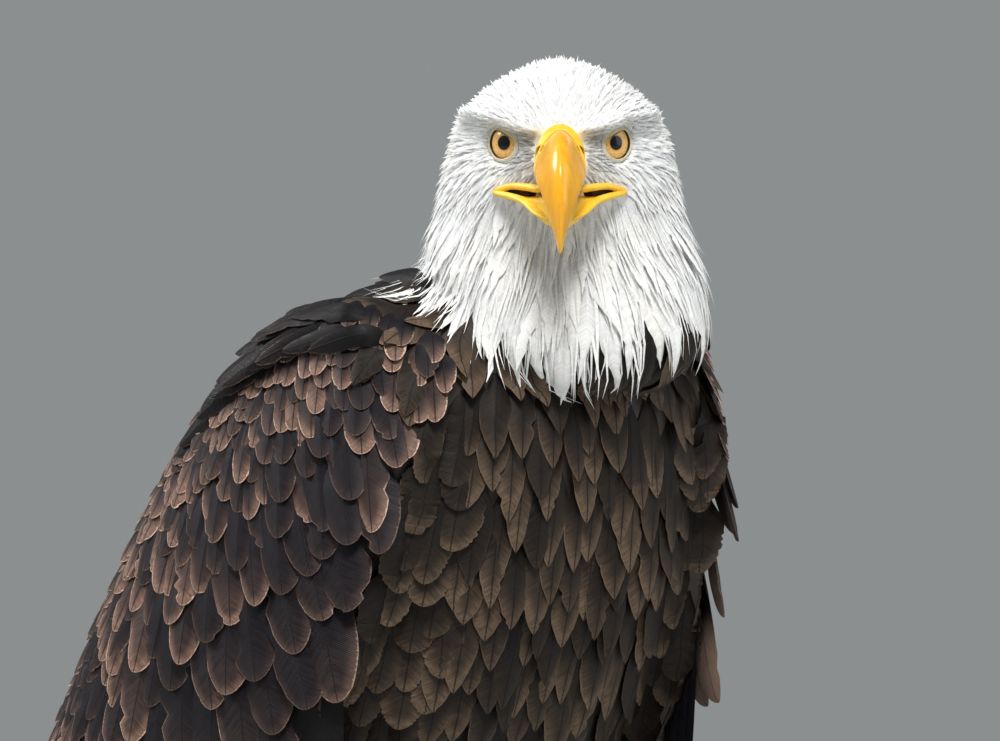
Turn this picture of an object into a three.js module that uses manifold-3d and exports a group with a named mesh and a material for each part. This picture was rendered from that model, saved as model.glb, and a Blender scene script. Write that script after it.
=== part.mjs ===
// Life-size adult bald eagle: it stands on both feet with its wings loosely drooped and its head turned to its right.
// Frame: millimetres, +Z up. The bird faces -Y and its right side is -X. The floor is Z = 0.
// Points are given from the middle of the stance; the finished bird is then moved to stand over the origin.
import * as THREE from 'three';
import { mergeVertices } from 'three/addons/utils/BufferGeometryUtils.js';
import Module from 'manifold-3d';

const wasm = await Module();
wasm.setup();

// ---------------------------------------------------------------- driving dimensions
const GAP = 0.35; // clearance between neighbouring pieces
const SOLE_FLAT = 1.2; // how much of each pad and claw tip is cut away to stand flat

// The head is placed by the point midway between the eyes and turned about +Z.
const HEAD_PLACE = [-17, -72, 590];
const HEAD_TURN = THREE.MathUtils.degToRad(-38);

// Head and neck, cut level: height above the eyes, forward shift, half width, reach to the front, reach to the back,
// and the power that squares the front (2 is round, less is wedge-shaped).
const HEAD_ROWS = [
  [38, -13, 3, 3, 3, 2],
  [34, -13, 16, 18, 19, 2],
  [27, -14, 29, 30, 31, 2],
  [18, -15, 38.5, 38.5, 39, 1.9],
  [9, -16, 44.5, 45, 43, 1.75],
  [0, -17, 47.5, 48, 46, 1.7],
  [-15, -18, 50.5, 47, 48, 1.75],
  [-31, -20, 53.5, 41, 49, 1.9],
  [-44, -21, 57, 38, 51, 2],
  [-57, -22, 60, 40, 53, 2],
  [-70, -23, 60, 43, 53, 2],
  [-84, -24, 56, 45, 48, 2],
  [-96, -25, 42, 38, 38, 2],
];
const HEAD_END = { forward: 10, up: -43, slope: 0.3 }; // the plane that parts head from neck rises to the nape

// Pointed feathers round the lower edge of the neck.
const RUFF = { count: 11, start: -58, length: 32, front: 14, extra: 7, width: 24, thick: 7, flare: 1 };

const EYE = { side: 19.2, forward: 13, up: 0.4, radius: 10.4, turn: 40, opening: 7.4, bevel: 6 };

// Brow ridge: sideways, forward, up, half width, half height.
const BROW_ROWS = [
  [8, 29, 1, 4, 3.6],
  [17, 25.8, 5.8, 6, 4.6],
  [26, 19, 10.8, 6.5, 4.8],
  [34, 8, 13.2, 6.5, 4.6],
  [40, -4, 11, 4, 3],
];

// Upper bill, cut square to its own line: forward, up, half width, reach upwards, reach downwards, and how much it
// narrows towards its top.
const BILL_ROWS = [
  [20, -4, 11, 11, 13, 0.12],
  [30, -3.5, 10.6, 11.2, 13.5, 0.14],
  [42, -4.5, 9.8, 11.8, 14, 0.42],
  [53, -8, 9.2, 12, 12.5, 0.42],
  [62, -14.5, 7.8, 10.2, 10.5, 0.35],
  [66.5, -24, 5.6, 6.8, 8, 0.3],
  [67.5, -34, 3.1, 3.7, 4.8, 0.3],
  [66, -44.5, 0.7, 0.9, 1, 0.3],
];
const CERE_END = { forward: 38.5, slope: 0.22 }; // where the soft cere meets the horn, and how far it leans
const NOSTRIL = { side: 10.4, forward: 33.6, up: -3.8, half: [2.4, 3, 4.6] };

// Lower bill, cut level: forward, up, half width, reach upwards, reach downwards.
const JAW_ROWS = [
  [4, -25, 13, 2.5, 3.6],
  [16, -25.5, 13, 2.6, 3.8],
  [28, -27, 11.4, 3.2, 4.6],
  [40, -29.5, 8.8, 3.6, 5.2],
  [50, -31, 6.4, 3.4, 4.6],
  [58, -30.5, 3.4, 2.4, 2.8],
  [62, -29.5, 0.9, 0.8, 0.8],
];
// Fleshy edges of the gape, from the bill to the corner of the mouth: sideways, forward, up, half width, half height.
const LIP_UPPER = [
  [7.5, 38, -17.9, 2.4, 2.2],
  [13, 30.5, -17.8, 2.4, 1.7],
  [19.5, 23.5, -17.6, 2.3, 1.3],
  [26.5, 16, -19.4, 1, 0.8],
];
const LIP_LOWER = [
  [6, 46, -30.5, 1.8, 3],
  [13.4, 33, -24.1, 2.3, 2.8],
  [19.5, 25.5, -22, 2.3, 1.9],
  [26.5, 17, -20.6, 1, 0.8],
];

// Trunk, cut square to its own line: back, up, half width, reach to the back, reach to the belly.
const TRUNK_ROWS = [
  [268, 170, 10, 6, 6],
  [242, 200, 34, 20, 30],
  [196, 248, 60, 38, 64],
  [138, 308, 80, 60, 98],
  [80, 372, 90, 80, 110],
  [30, 432, 91, 90, 100],
  [-6, 484, 86, 75, 80],
  [-28, 519, 71, 46, 57],
  [-40, 546, 42, 22, 32],
];
const TRUNK_BACK_POWER = 0.84; // below 1 makes broad, square shoulders
const TRUNK_FRONT_POWER = 0.72; // and a broad breast that reaches both wings

// Right wing: its upper edge from the wrist to the tip, its lower edge, and the outward bulge between them.
const WING_ROWS = [
  [-64, -50, 516, -70, -71, 488, 3],
  [-84, -13, 530, -91, -53, 429, 10],
  [-91, 27, 516, -97, -34, 360, 16],
  [-93, 65, 488, -99, -8, 298, 22],
  [-91, 101, 447, -100, 38, 244, 26],
  [-84, 139, 400, -99, 88, 196, 29],
  [-68, 182, 347, -97, 138, 152, 31],
  [-47, 224, 284, -88, 200, 124, 30],
  [-31, 270, 216, -76, 262, 104, 22],
  [-24, 330, 146, -60, 336, 90, 13],
  [-28, 396, 78, -46, 402, 54, 5],
];
const WING_FOLD = 0.6; // below 1 the wing bulges most near its upper edge, where it turns over the back
// The coverts end part way along the wing and cover a falling share of its depth.
const COVERTS = { end: 0.84, share: [0.97, 0.5], leading: 24, trailing: 13, taper: 0.5, sink: 6, blunt: 0.1 };
// Flight feathers: how many, where the row begins and ends along the wing, how far down the wing it starts at those
// two places, how far it leans towards the wing tip, how deep its ends lie under the wing's surface, the depth of the
// notches between tips, the overlap step, the feathers' thickness, and the rows of points from root to tip.
const SECONDARIES = {
  count: 7, along: [0.04, 0.545], start: [0.88, 0.62], lean: 0.1, sink: [6, 6],
  notch: 0.06, step: 1.6, thick: 3.4, shares: [0, 1],
};
const PRIMARIES = {
  count: 6, along: [0.5, 0.9], start: [0.64, 0.1], lean: 0.1, sink: [13, 3],
  notch: 0.1, step: 1.6, thick: 3.4, shares: [0, 0.6, 1],
};

// Tail fan: its root, how steeply it slopes down, its half width at root and tip, and how far its sides droop.
const TAIL = {
  count: 12, root: [0, 236, 212], length: 252, pitch: 50.5, half: [20, 66], droop: 6, notch: 0.05, step: 1.2, thick: 3,
};

// Legs: outwards from the midline, back, up, half width across, half width fore and aft.
const THIGH_ROWS = [
  [42, 92, 268, 30, 44],
  [50, 80, 232, 44, 56],
  [53, 72, 190, 40, 48],
  [53, 69, 148, 32, 37],
  [52, 70, 112, 24, 27],
  [52, 71, 88, 17, 19],
];
const TARSUS_ROWS = [
  [52, 72, 108, 9, 11],
  [52, 71, 80, 8, 10],
  [52, 68, 50, 8, 9.5],
  [52, 64, 24, 10, 12],
  [52, 61, 10, 12, 14],
];
const ANKLE = { place: [52, 61, 11], half: [15, 16, 12] };
// Toes: heading from straight ahead (outwards is positive), toe length, talon length, half width at the root.
const TOES = [
  { name: 'inner', heading: -34, length: 56, talon: 34, half: 9 },
  { name: 'middle', heading: 2, length: 78, talon: 28, half: 8.6 },
  { name: 'outer', heading: 40, length: 62, talon: 26, half: 8 },
  { name: 'hind', heading: 176, length: 42, talon: 38, half: 9.4 },
];
const TALON_ARC = { start: 40, sweep: 104 }; // degrees: a talon leaves its toe rising, then curves down to the floor

// ---------------------------------------------------------------- finishes
const finish = (color, roughness) => new THREE.MeshStandardMaterial({ color, roughness, metalness: 0 });
const WHITE_FEATHER = finish(0xe6e8ea, 0.85);
const DARK_FEATHER = finish(0x40332a, 0.75);
const BILL_YELLOW = finish(0xe8a81c, 0.35);
const CERE_YELLOW = finish(0xf0c63c, 0.5);
const LEG_YELLOW = finish(0xe0b02a, 0.55);
const TALON_BLACK = finish(0x1b1a1c, 0.3);
const EYE_AMBER = finish(0xe0a552, 0.1);

// ---------------------------------------------------------------- tools
const UP = new THREE.Vector3(0, 0, 1);
const { degToRad, lerp, clamp } = THREE.MathUtils;
const vec = (x, y, z) => new THREE.Vector3(x, y, z);
const curved = (value, power) => Math.sign(value) * Math.abs(value) ** power;
const range = (count) => Array.from({ length: count }, (_, i) => i);

// Rows of numbers, resampled to `count` rows along a smooth curve through them.
function resample(rows, count) {
  const row = (k) => rows[clamp(k, 0, rows.length - 1)];
  return range(count).map((i) => {
    const place = (i / (count - 1)) * (rows.length - 1);
    const k = Math.min(Math.floor(place), rows.length - 2);
    const f = place - k;
    const [a, b, c, d] = [row(k - 1), row(k), row(k + 1), row(k + 2)];
    return b.map((_, n) => {
      const slope = c[n] - a[n];
      const bend = 2 * a[n] - 5 * b[n] + 4 * c[n] - d[n];
      const twist = 3 * b[n] - a[n] - 3 * c[n] + d[n];
      return 0.5 * (2 * b[n] + slope * f + bend * f * f + twist * f ** 3);
    });
  });
}

// A ring of points: `point(cosine, sine)` gives each one.
const ringOf = (sides, point) => range(sides).map((k) => {
  const angle = (k / sides) * 2 * Math.PI;
  return point(Math.cos(angle), Math.sin(angle));
});

// A closed surface through rings of points, with a fan over each end.
function loft(rings) {
  const sides = rings[0].length;
  const points = rings.flat();
  const ends = [rings[0], rings.at(-1)].map((ring) => {
    points.push(ring.reduce((sum, p) => sum.add(p), vec(0, 0, 0)).divideScalar(sides));
    return points.length - 1;
  });
  const index = [];
  for (let i = 0; i < sides; i++) {
    const j = (i + 1) % sides;
    for (let r = 0; r < rings.length - 1; r++) {
      const [a, b, c, d] = [r * sides + i, r * sides + j, (r + 1) * sides + i, (r + 1) * sides + j];
      index.push(a, b, d, a, d, c);
    }
    const last = (rings.length - 1) * sides;
    index.push(ends[0], j, i, ends[1], last + i, last + j);
  }
  return new THREE.BufferGeometry().setFromPoints(points).setIndex(index);
}

// -1 for the first of `rows`, 1 for the last and 0 between: which way a grown solid lengthens there.
const endOf = (i, rows) => (i === rows.length - 1) - (i === 0);

// Along a path of rows that start x, y, z: each point with two directions square to the path.
function frames(rows, across, grow) {
  const at = rows.map(([x, y, z]) => vec(x, y, z));
  return at.map((point, i) => {
    const ahead = at[Math.min(i + 1, at.length - 1)].clone().sub(at[Math.max(i - 1, 0)]).normalize();
    const normal = ahead.clone().cross(across).normalize();
    const centre = point.clone().addScaledVector(ahead, grow * endOf(i, rows));
    return { centre, normal, side: normal.clone().cross(ahead) };
  });
}

const offset = ({ centre, side, normal }, wide, deep) => (
  centre.clone().addScaledVector(side, wide).addScaledVector(normal, deep)
);

// A round limb along a path. Each row is x, y, z, half width and half depth.
function limb(rows, sides, across, grow = 0) {
  return loft(frames(rows, across, grow).map((frame, i) => (
    ringOf(sides, (c, s) => offset(frame, (rows[i][3] + grow) * c, (rows[i][4] + grow) * s))
  )));
}

// A flat feather along a path. Each row is x, y, z and half width.
function blade(rows, across, thick) {
  return loft(frames(rows, across, 0).map((frame, i) => (
    [[1, 1], [-1, 1], [-1, -1], [1, -1]].map(([a, b]) => offset(frame, rows[i][3] * a, (thick / 2) * b))
  )));
}

// Feathers side by side in one sheet, each lapping over the next. `place(across, share)` gives a point of the sheet
// and its outward direction: `across` runs over the feathers and `share` from their roots to their tips.
function featherSheet({ count, notch, step, thick }, shares, place, grow = 0) {
  const cuts = [0.05, 0.35, 0.65, 0.95];
  return loft(range(count).flatMap((feather) => cuts.map((cut) => {
    const tip = 1 - notch * (1 - Math.sqrt(1 - (2 * cut - 1) ** 2));
    const line = shares.map((share) => place((feather + cut) / count, share * tip));
    const face = (side) => line.map(({ point, out }) => (
      point.clone().addScaledVector(out, step * (0.5 - cut) + side * (thick / 2 + grow))
    ));
    return [...face(1), ...face(-1).reverse()];
  })));
}

const ball = (half, place, across, down) => (
  new THREE.SphereGeometry(1, across, down).scale(...half).translate(...place)
);
const mirrored = (geometry) => geometry.clone().scale(-1, 1, 1);
const bothSides = (geometry) => [mirrored(geometry), geometry]; // the bird's right, then its left

// The half of space beyond a plane through `point`, on the side that `outward` points to.
function beyond(point, outward) {
  const size = 900;
  const turn = new THREE.Quaternion().setFromUnitVectors(UP, outward.clone().normalize());
  return new THREE.BoxGeometry(size, size, size).translate(0, 0, size / 2).applyQuaternion(turn).translate(...point);
}

// A geometry as a solid for joining and cutting, with its faces pointing out.
function solid(geometry) {
  const bare = geometry.index ? geometry.toNonIndexed() : geometry.clone();
  bare.deleteAttribute('normal');
  bare.deleteAttribute('uv');
  const merged = mergeVertices(bare, 1e-4);
  const vertProperties = merged.attributes.position.array;
  const faces = new Uint32Array(merged.index.array);
  const made = new wasm.Manifold(new wasm.Mesh({ numProp: 3, vertProperties, triVerts: faces }));
  if (made.volume() > 0) return made;
  return new wasm.Manifold(new wasm.Mesh({ numProp: 3, vertProperties, triVerts: faces.slice().reverse() }));
}

const join = (geometries) => geometries.map(solid).reduce((whole, part) => whole.add(part));

// A named mesh: all of `parts` joined, less all of `cutters`. Only the largest body is kept, so no sliver is left.
function piece(name, material, parts, cutters = []) {
  const made = cutters.length ? join(parts).subtract(join(cutters)) : join(parts);
  const body = made.decompose().reduce((best, one) => (one.volume() > best.volume() ? one : best));
  const { vertProperties, triVerts } = body.getMesh();
  const geometry = new THREE.BufferGeometry();
  geometry.setAttribute('position', new THREE.BufferAttribute(new Float32Array(vertProperties), 3));
  geometry.setIndex(new THREE.BufferAttribute(new Uint32Array(triVerts), 1));
  geometry.computeVertexNormals();
  const mesh = new THREE.Mesh(geometry, material);
  mesh.name = name;
  return mesh;
}

// ---------------------------------------------------------------- head and neck, in the head's own frame
// The head's frame has its origin midway between the eyes and its bill towards -Y.
function headAndNeck(grow = 0) {
  return loft(resample(HEAD_ROWS, 13).map(([up, forward, half, front, back, corner]) => (
    ringOf(18, (c, s) => {
      const power = s > 0 ? 2 / corner : 1;
      const reach = (s > 0 ? front : back) + grow;
      return vec((half + grow) * curved(c, power), -forward - reach * curved(s, power), up);
    })
  )));
}

// Pointed tufts that hang from the ruff all the way round.
function ruffTufts() {
  const levels = resample(HEAD_ROWS, 60);
  const nearest = (up) => levels.reduce((best, row) => (Math.abs(row[0] - up) < Math.abs(best[0] - up) ? row : best));
  const lowest = -74; // below this the tufts hang straight instead of following the neck inwards
  return range(RUFF.count).map((i) => {
    const angle = ((i + 0.5) / RUFF.count) * 2 * Math.PI;
    const [c, s] = [Math.cos(angle), Math.sin(angle)];
    const length = RUFF.length + RUFF.front * Math.max(s, 0) + RUFF.extra * Math.sin(i * 2.4);
    const rows = [0, 0.6, 1].map((share) => {
      const up = RUFF.start - length * share;
      const [, forward, half, front, back] = nearest(Math.max(up, lowest));
      const flare = RUFF.flare * share - RUFF.thick / 2;
      const reach = (s > 0 ? front : back) + flare;
      return [(half + flare) * c, -forward - reach * s, up, (RUFF.width / 2) * (1.02 - share ** 2)];
    });
    return blade(rows, vec(s, c, 0), RUFF.thick);
  });
}

const fromFace = (rows) => rows.map(([x, forward, up, ...half]) => [x, -forward, up, ...half]);
const eyeBalls = (grow = 0) => bothSides(
  ball(Array(3).fill(EYE.radius + grow), [EYE.side, -EYE.forward, EYE.up], 11, 7),
);

// The openings between the lids: short cones that widen outwards over the front of each eye.
function eyeOpenings() {
  const depth = 14;
  const cone = new THREE.CylinderGeometry(EYE.opening, EYE.opening + EYE.bevel, depth, 10);
  cone.translate(0, -EYE.radius + 4 - depth / 2, 0).rotateZ(degToRad(EYE.turn));
  return bothSides(cone.translate(EYE.side, -EYE.forward, EYE.up));
}

const brows = () => bothSides(limb(resample(fromFace(BROW_ROWS), 6), 6, vec(1, -1, 0)));
const lips = (rows, grow = 0) => bothSides(limb(resample(fromFace(rows), 5), 6, UP, grow));

// The whole upper bill, from inside the forehead to the hooked tip. Its sides stay full down to the cutting edge.
function upperBill(grow = 0) {
  const rows = resample(BILL_ROWS, 11);
  return loft(rows.map(([forward, up, half, top, bottom, ridge], i) => {
    const [before, after] = [rows[Math.max(i - 1, 0)], rows[Math.min(i + 1, rows.length - 1)]];
    const ahead = new THREE.Vector2(after[0] - before[0], after[1] - before[1]).normalize();
    return ringOf(12, (c, s) => {
      const rise = ((s > 0 ? top : bottom) + grow) * s;
      const wide = (half + grow) * (s < 0 ? curved(c, 0.6) : c) * (1 - ridge * s);
      return vec(wide, -forward + rise * ahead.y, up + rise * ahead.x);
    });
  }));
}

function lowerBill(grow = 0) {
  return loft(resample(JAW_ROWS, 8).map(([forward, up, half, top, bottom]) => (
    ringOf(10, (c, s) => vec((half + grow) * curved(c, 0.75), -forward, up + ((s > 0 ? top : bottom) + grow) * s))
  )));
}

const nostrils = () => bothSides(ball(NOSTRIL.half, [NOSTRIL.side, -NOSTRIL.forward, NOSTRIL.up], 7, 5));

function headPieces(trunkSeat) {
  const parting = vec(0, -HEAD_END.slope, 1).normalize();
  const partingAt = vec(0, -HEAD_END.forward, HEAD_END.up);
  const cereFront = vec(0, -1, CERE_END.slope).normalize();
  const cereAt = vec(0, -CERE_END.forward, 0);
  const upperSeat = [upperBill(GAP), ...lips(LIP_UPPER, GAP)];
  const lowerSeat = [lowerBill(GAP), ...lips(LIP_LOWER, GAP)];
  const [rightEye, leftEye] = eyeBalls();
  return [
    piece('head', WHITE_FEATHER, [headAndNeck(), ...brows()], [
      beyond(partingAt, parting.clone().negate()),
      ...eyeBalls(GAP),
      ...eyeOpenings(),
      ...upperSeat,
      ...lowerSeat,
    ]),
    piece('neck', WHITE_FEATHER, [headAndNeck(), ...ruffTufts()], [
      beyond(partingAt.clone().addScaledVector(parting, -GAP), parting),
      trunkSeat,
    ]),
    piece('cere', CERE_YELLOW, [upperBill(), ...lips(LIP_UPPER)], [
      beyond(cereAt, cereFront),
      ...nostrils(),
      ...eyeBalls(GAP),
    ]),
    piece('bill_upper', BILL_YELLOW, [upperBill()], [
      beyond(cereAt.clone().addScaledVector(cereFront, GAP), cereFront.clone().negate()),
      ...lips(LIP_UPPER, GAP),
    ]),
    piece('bill_lower', BILL_YELLOW, [lowerBill(), ...lips(LIP_LOWER)], upperSeat),
    piece('eye_right', EYE_AMBER, [rightEye]),
    piece('eye_left', EYE_AMBER, [leftEye]),
  ];
}

// ---------------------------------------------------------------- trunk
function trunk(grow = 0) {
  const rows = resample(TRUNK_ROWS, 13);
  return loft(rows.map(([back, up, half, dorsal, ventral], i) => {
    const [before, after] = [rows[Math.max(i - 1, 0)], rows[Math.min(i + 1, rows.length - 1)]];
    const ahead = new THREE.Vector2(after[0] - before[0], after[1] - before[1]).normalize();
    const end = grow * endOf(i, rows);
    return ringOf(18, (c, s) => {
      const power = s > 0 ? TRUNK_BACK_POWER : TRUNK_FRONT_POWER;
      const out = ((s > 0 ? dorsal : ventral) + grow) * curved(s, power);
      const wide = (half + grow) * curved(c, power);
      return vec(wide, back + out * ahead.y + end * ahead.x, up - out * ahead.x + end * ahead.y);
    });
  }));
}

// ---------------------------------------------------------------- wings: made on the right, mirrored for the left
const WING_STEPS = 50;
const WING_TABLE = resample(WING_ROWS, WING_STEPS + 1);

// The right wing's edges at `along`, from 0 at the wrist to 1 at the tip, and its directions there.
function wingStation(along) {
  const place = clamp(along, 0, 1) * WING_STEPS;
  const k = Math.min(Math.floor(place), WING_STEPS - 1);
  const row = WING_TABLE[k].map((value, n) => lerp(value, WING_TABLE[k + 1][n], place - k));
  const [before, after] = [WING_TABLE[Math.max(k - 1, 0)], WING_TABLE[Math.min(k + 2, WING_STEPS)]];
  const upper = vec(...row.slice(0, 3));
  const hang = vec(...row.slice(3, 6)).sub(upper);
  const run = vec(...after.slice(0, 3)).sub(vec(...before.slice(0, 3))).normalize();
  const out = run.clone().cross(hang).normalize();
  return { upper, hang, run, out, bulge: row[6] };
}

// The point a `share` of the way from the wing's upper edge to its lower edge, raised by `lift`.
const wingPoint = ({ upper, hang, out, bulge }, share, lift) => upper.clone()
  .addScaledVector(hang, share)
  .addScaledVector(out, bulge * Math.sin(Math.PI * clamp(share, 0, 1) ** WING_FOLD) + lift);

function wingCoverts(grow = 0) {
  return loft(range(11).map((i) => {
    const along = (COVERTS.end * i) / 10;
    const station = wingStation(along);
    const edge = grow / station.hang.length();
    const reach = lerp(...COVERTS.share, along);
    const fromEnd = Math.min(along, COVERTS.end - along) / COVERTS.blunt;
    const blunt = Math.sqrt(1 - 0.8 * (1 - Math.min(fromEnd, 1)) ** 2);
    return ringOf(10, (c, s) => {
      const across = (1 - c) / 2;
      const thick = lerp(COVERTS.leading, COVERTS.trailing, across) * (1 - COVERTS.taper * along) * blunt;
      return wingPoint(station, across * reach - edge * c, (thick / 2 + grow) * s - COVERTS.sink);
    });
  }));
}

// One row of flight feathers.
function flightFeathers(row, grow = 0) {
  return featherSheet(row, row.shares, (across, share) => {
    const station = wingStation(lerp(...row.along, across) + row.lean * share);
    const down = lerp(lerp(...row.start, across), 1, share);
    return { point: wingPoint(station, down, -lerp(...row.sink, across)), out: station.out };
  }, grow);
}

function wingPieces(name, turned, neighbours) {
  const place = (geometries) => geometries.map(turned);
  const coverts = place([wingCoverts(GAP)]);
  return [
    piece('wing_' + name, DARK_FEATHER, place([wingCoverts()]), neighbours),
    piece('secondaries_' + name, DARK_FEATHER, place([flightFeathers(SECONDARIES)]), [...coverts, ...neighbours]),
    piece('primaries_' + name, DARK_FEATHER, place([flightFeathers(PRIMARIES)]), [...coverts, ...neighbours]),
  ];
}

// ---------------------------------------------------------------- tail
function tailFeathers() {
  const pitch = degToRad(TAIL.pitch);
  const ahead = vec(0, Math.cos(pitch), -Math.sin(pitch));
  const out = vec(0, Math.sin(pitch), Math.cos(pitch));
  return featherSheet(TAIL, [0, 1], (across, share) => {
    const side = 2 * across - 1;
    const reach = TAIL.length * share * (1 - 0.06 * side * side);
    const point = vec(...TAIL.root).addScaledVector(ahead, reach).addScaledVector(out, -TAIL.droop * side * side);
    point.x += side * lerp(...TAIL.half, share);
    return { point, out };
  });
}

// ---------------------------------------------------------------- legs: made on the left, mirrored for the right
const thigh = (grow = 0) => limb(resample(THIGH_ROWS, 6), 12, vec(1, 0, 0), grow);
const tarsus = () => limb(resample(TARSUS_ROWS, 4), 7, vec(1, 0, 0));
const toeAhead = ({ heading }) => vec(Math.sin(degToRad(heading)), -Math.cos(degToRad(heading)), 0);

// The line of a toe from the ankle over its rounded pads.
function toeRows(toe) {
  const ahead = toeAhead(toe);
  const root = vec(ANKLE.place[0], ANKLE.place[1], 0);
  return range(5).map((r) => {
    const share = r / 4;
    const thick = toe.half * (1 - 0.3 * share) * (1 + 0.1 * Math.cos(share * 4 * Math.PI));
    const p = root.clone().addScaledVector(ahead, toe.length * share);
    return [p.x, p.y, thick - SOLE_FLAT + 3 * Math.sin(share * Math.PI), thick, thick];
  });
}

// A talon rises from the end of its toe and curves down to the floor.
function talon(toe, grow = 0) {
  const ahead = toeAhead(toe);
  const [x, y, z, half] = toeRows(toe).at(-1);
  const [start, sweep] = [degToRad(TALON_ARC.start), degToRad(TALON_ARC.sweep)];
  const bend = toe.talon / sweep;
  const rows = range(5).map((r) => {
    const share = r / 4;
    const turn = start - sweep * share;
    const p = vec(x, y, z + 1 + bend * (Math.cos(turn) - Math.cos(start)))
      .addScaledVector(ahead, bend * (Math.sin(start) - Math.sin(turn)) - 5);
    const thick = half * 0.84 * (1 - share) ** 0.75 + 0.5;
    return [...p.toArray(), thick * 0.8, thick];
  });
  return limb(rows, 6, ahead.cross(UP), grow);
}

const foot = (grow = 0) => [
  ball(ANKLE.half.map((half) => half + grow), ANKLE.place, 8, 5),
  ...TOES.map((toe) => limb(toeRows(toe), 6, toeAhead(toe).cross(UP), grow)),
];

function legPieces(name, turned, neighbours) {
  const place = (geometries) => geometries.map(turned);
  const floor = beyond([0, 0, 0], UP.clone().negate());
  return [
    piece('thigh_' + name, DARK_FEATHER, place([thigh()]), neighbours),
    piece('tarsus_' + name, LEG_YELLOW, place([tarsus()]), place([thigh(GAP), ...foot(GAP)])),
    piece('foot_' + name, LEG_YELLOW, place(foot()), [floor, ...place(TOES.map((toe) => talon(toe, GAP)))]),
    ...TOES.map((toe) => piece('talon_' + name + '_' + toe.name, TALON_BLACK, place([talon(toe)]), [floor])),
  ];
}

// ---------------------------------------------------------------- the bird
const bird = new THREE.Group();
const head = new THREE.Group();
head.position.set(...HEAD_PLACE);
head.rotation.z = HEAD_TURN;
head.updateMatrix();
head.add(...headPieces(trunk(GAP).applyMatrix4(head.matrix.clone().invert())));

const same = (geometry) => geometry;
const besideWings = [trunk(GAP), headAndNeck(GAP).applyMatrix4(head.matrix)];
const besideThighs = [
  trunk(GAP),
  ...bothSides(wingCoverts(GAP)),
  ...bothSides(flightFeathers(SECONDARIES, GAP)),
];
bird.add(
  head,
  piece('trunk', DARK_FEATHER, [trunk()]),
  ...wingPieces('right', same, besideWings),
  ...wingPieces('left', mirrored, besideWings),
  ...legPieces('right', mirrored, besideThighs),
  ...legPieces('left', same, besideThighs),
  piece('tail', WHITE_FEATHER, [tailFeathers()], [trunk(GAP)]),
);

// Move the bird so that the origin is on the floor, under the middle of its outline.
bird.updateMatrixWorld(true);
const outline = new THREE.Box3().setFromObject(bird, true);
bird.position.set(-(outline.min.x + outline.max.x) / 2, -(outline.min.y + outline.max.y) / 2, -outline.min.z);

export default bird;
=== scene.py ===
import math

import bpy
import numpy as np
from mathutils import Matrix, Vector
from mathutils.bvhtree import BVHTree
from mathutils.kdtree import KDTree


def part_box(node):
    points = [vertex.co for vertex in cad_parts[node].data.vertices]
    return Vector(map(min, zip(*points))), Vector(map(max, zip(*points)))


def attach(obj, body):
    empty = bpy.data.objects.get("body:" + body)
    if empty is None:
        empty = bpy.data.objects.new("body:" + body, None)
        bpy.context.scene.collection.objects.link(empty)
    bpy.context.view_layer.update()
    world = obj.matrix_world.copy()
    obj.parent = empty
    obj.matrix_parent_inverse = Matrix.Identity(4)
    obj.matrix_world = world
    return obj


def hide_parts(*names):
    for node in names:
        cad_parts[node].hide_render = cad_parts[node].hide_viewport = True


# An adult bald eagle, life size. One skin lies under the plumage; every feather is a thin mesh vane laid over it.
# Sizes are in millimetres until they are placed; Blender's units are metres.

MM = 0.001
rng = np.random.default_rng(11)

# ---------------------------------------------------------------- sizes of the bird
# The head's own frame starts between the eyes, with the bill towards -Y. The body's sizes are from mid-stance.
HEAD_PLACE = np.array([-17, -72, 590.0])
EYE = {"side": 19.2, "forward": 13, "up": 0.4, "radius": 10.4, "turn": 40, "sink": 1.4, "dome": 2.3, "gaze": 31}
PUPIL, IRIS = 3.05, 7.3
# The opening between the lids: its radius, and the straight upper lid that cuts it, square to a line at that angle.
LIDS = {"open": 6.3, "cut": 3.7, "angle": 66, "reach": 7.7}

# Head and neck, cut level: up, forward, half width, reach to the front, reach to the back, front corner power.
HEAD_ROWS = [
    [38, -13, 3, 3, 3, 2],
    [34, -13, 16, 18, 19, 2],
    [27, -14, 29, 30, 31, 2],
    [18, -15, 38.5, 38.5, 39, 1.9],
    [9, -16, 44.5, 45, 43, 1.75],
    [0, -17, 47.5, 48, 46, 1.7],
    [-15, -18, 50.5, 47, 48, 1.75],
    [-31, -20, 53.5, 41, 49, 1.9],
    [-44, -21, 57, 38, 51, 2],
    [-57, -22, 60, 40, 53, 2],
    [-70, -23, 60, 43, 53, 2],
    [-84, -24, 56, 45, 48, 2],
    [-96, -25, 42, 38, 38, 2],
]
# Brow ridge: sideways, forward, up, half width, half height.
BROW_ROWS = [
    [8, 30, 5.2, 4, 3.4],
    [17, 27.6, 7.8, 6, 4.2],
    [26, 21, 11.2, 6.5, 4.8],
    [34, 9, 13.2, 6.5, 4.6],
    [40, -4, 11, 4, 3],
]
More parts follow.
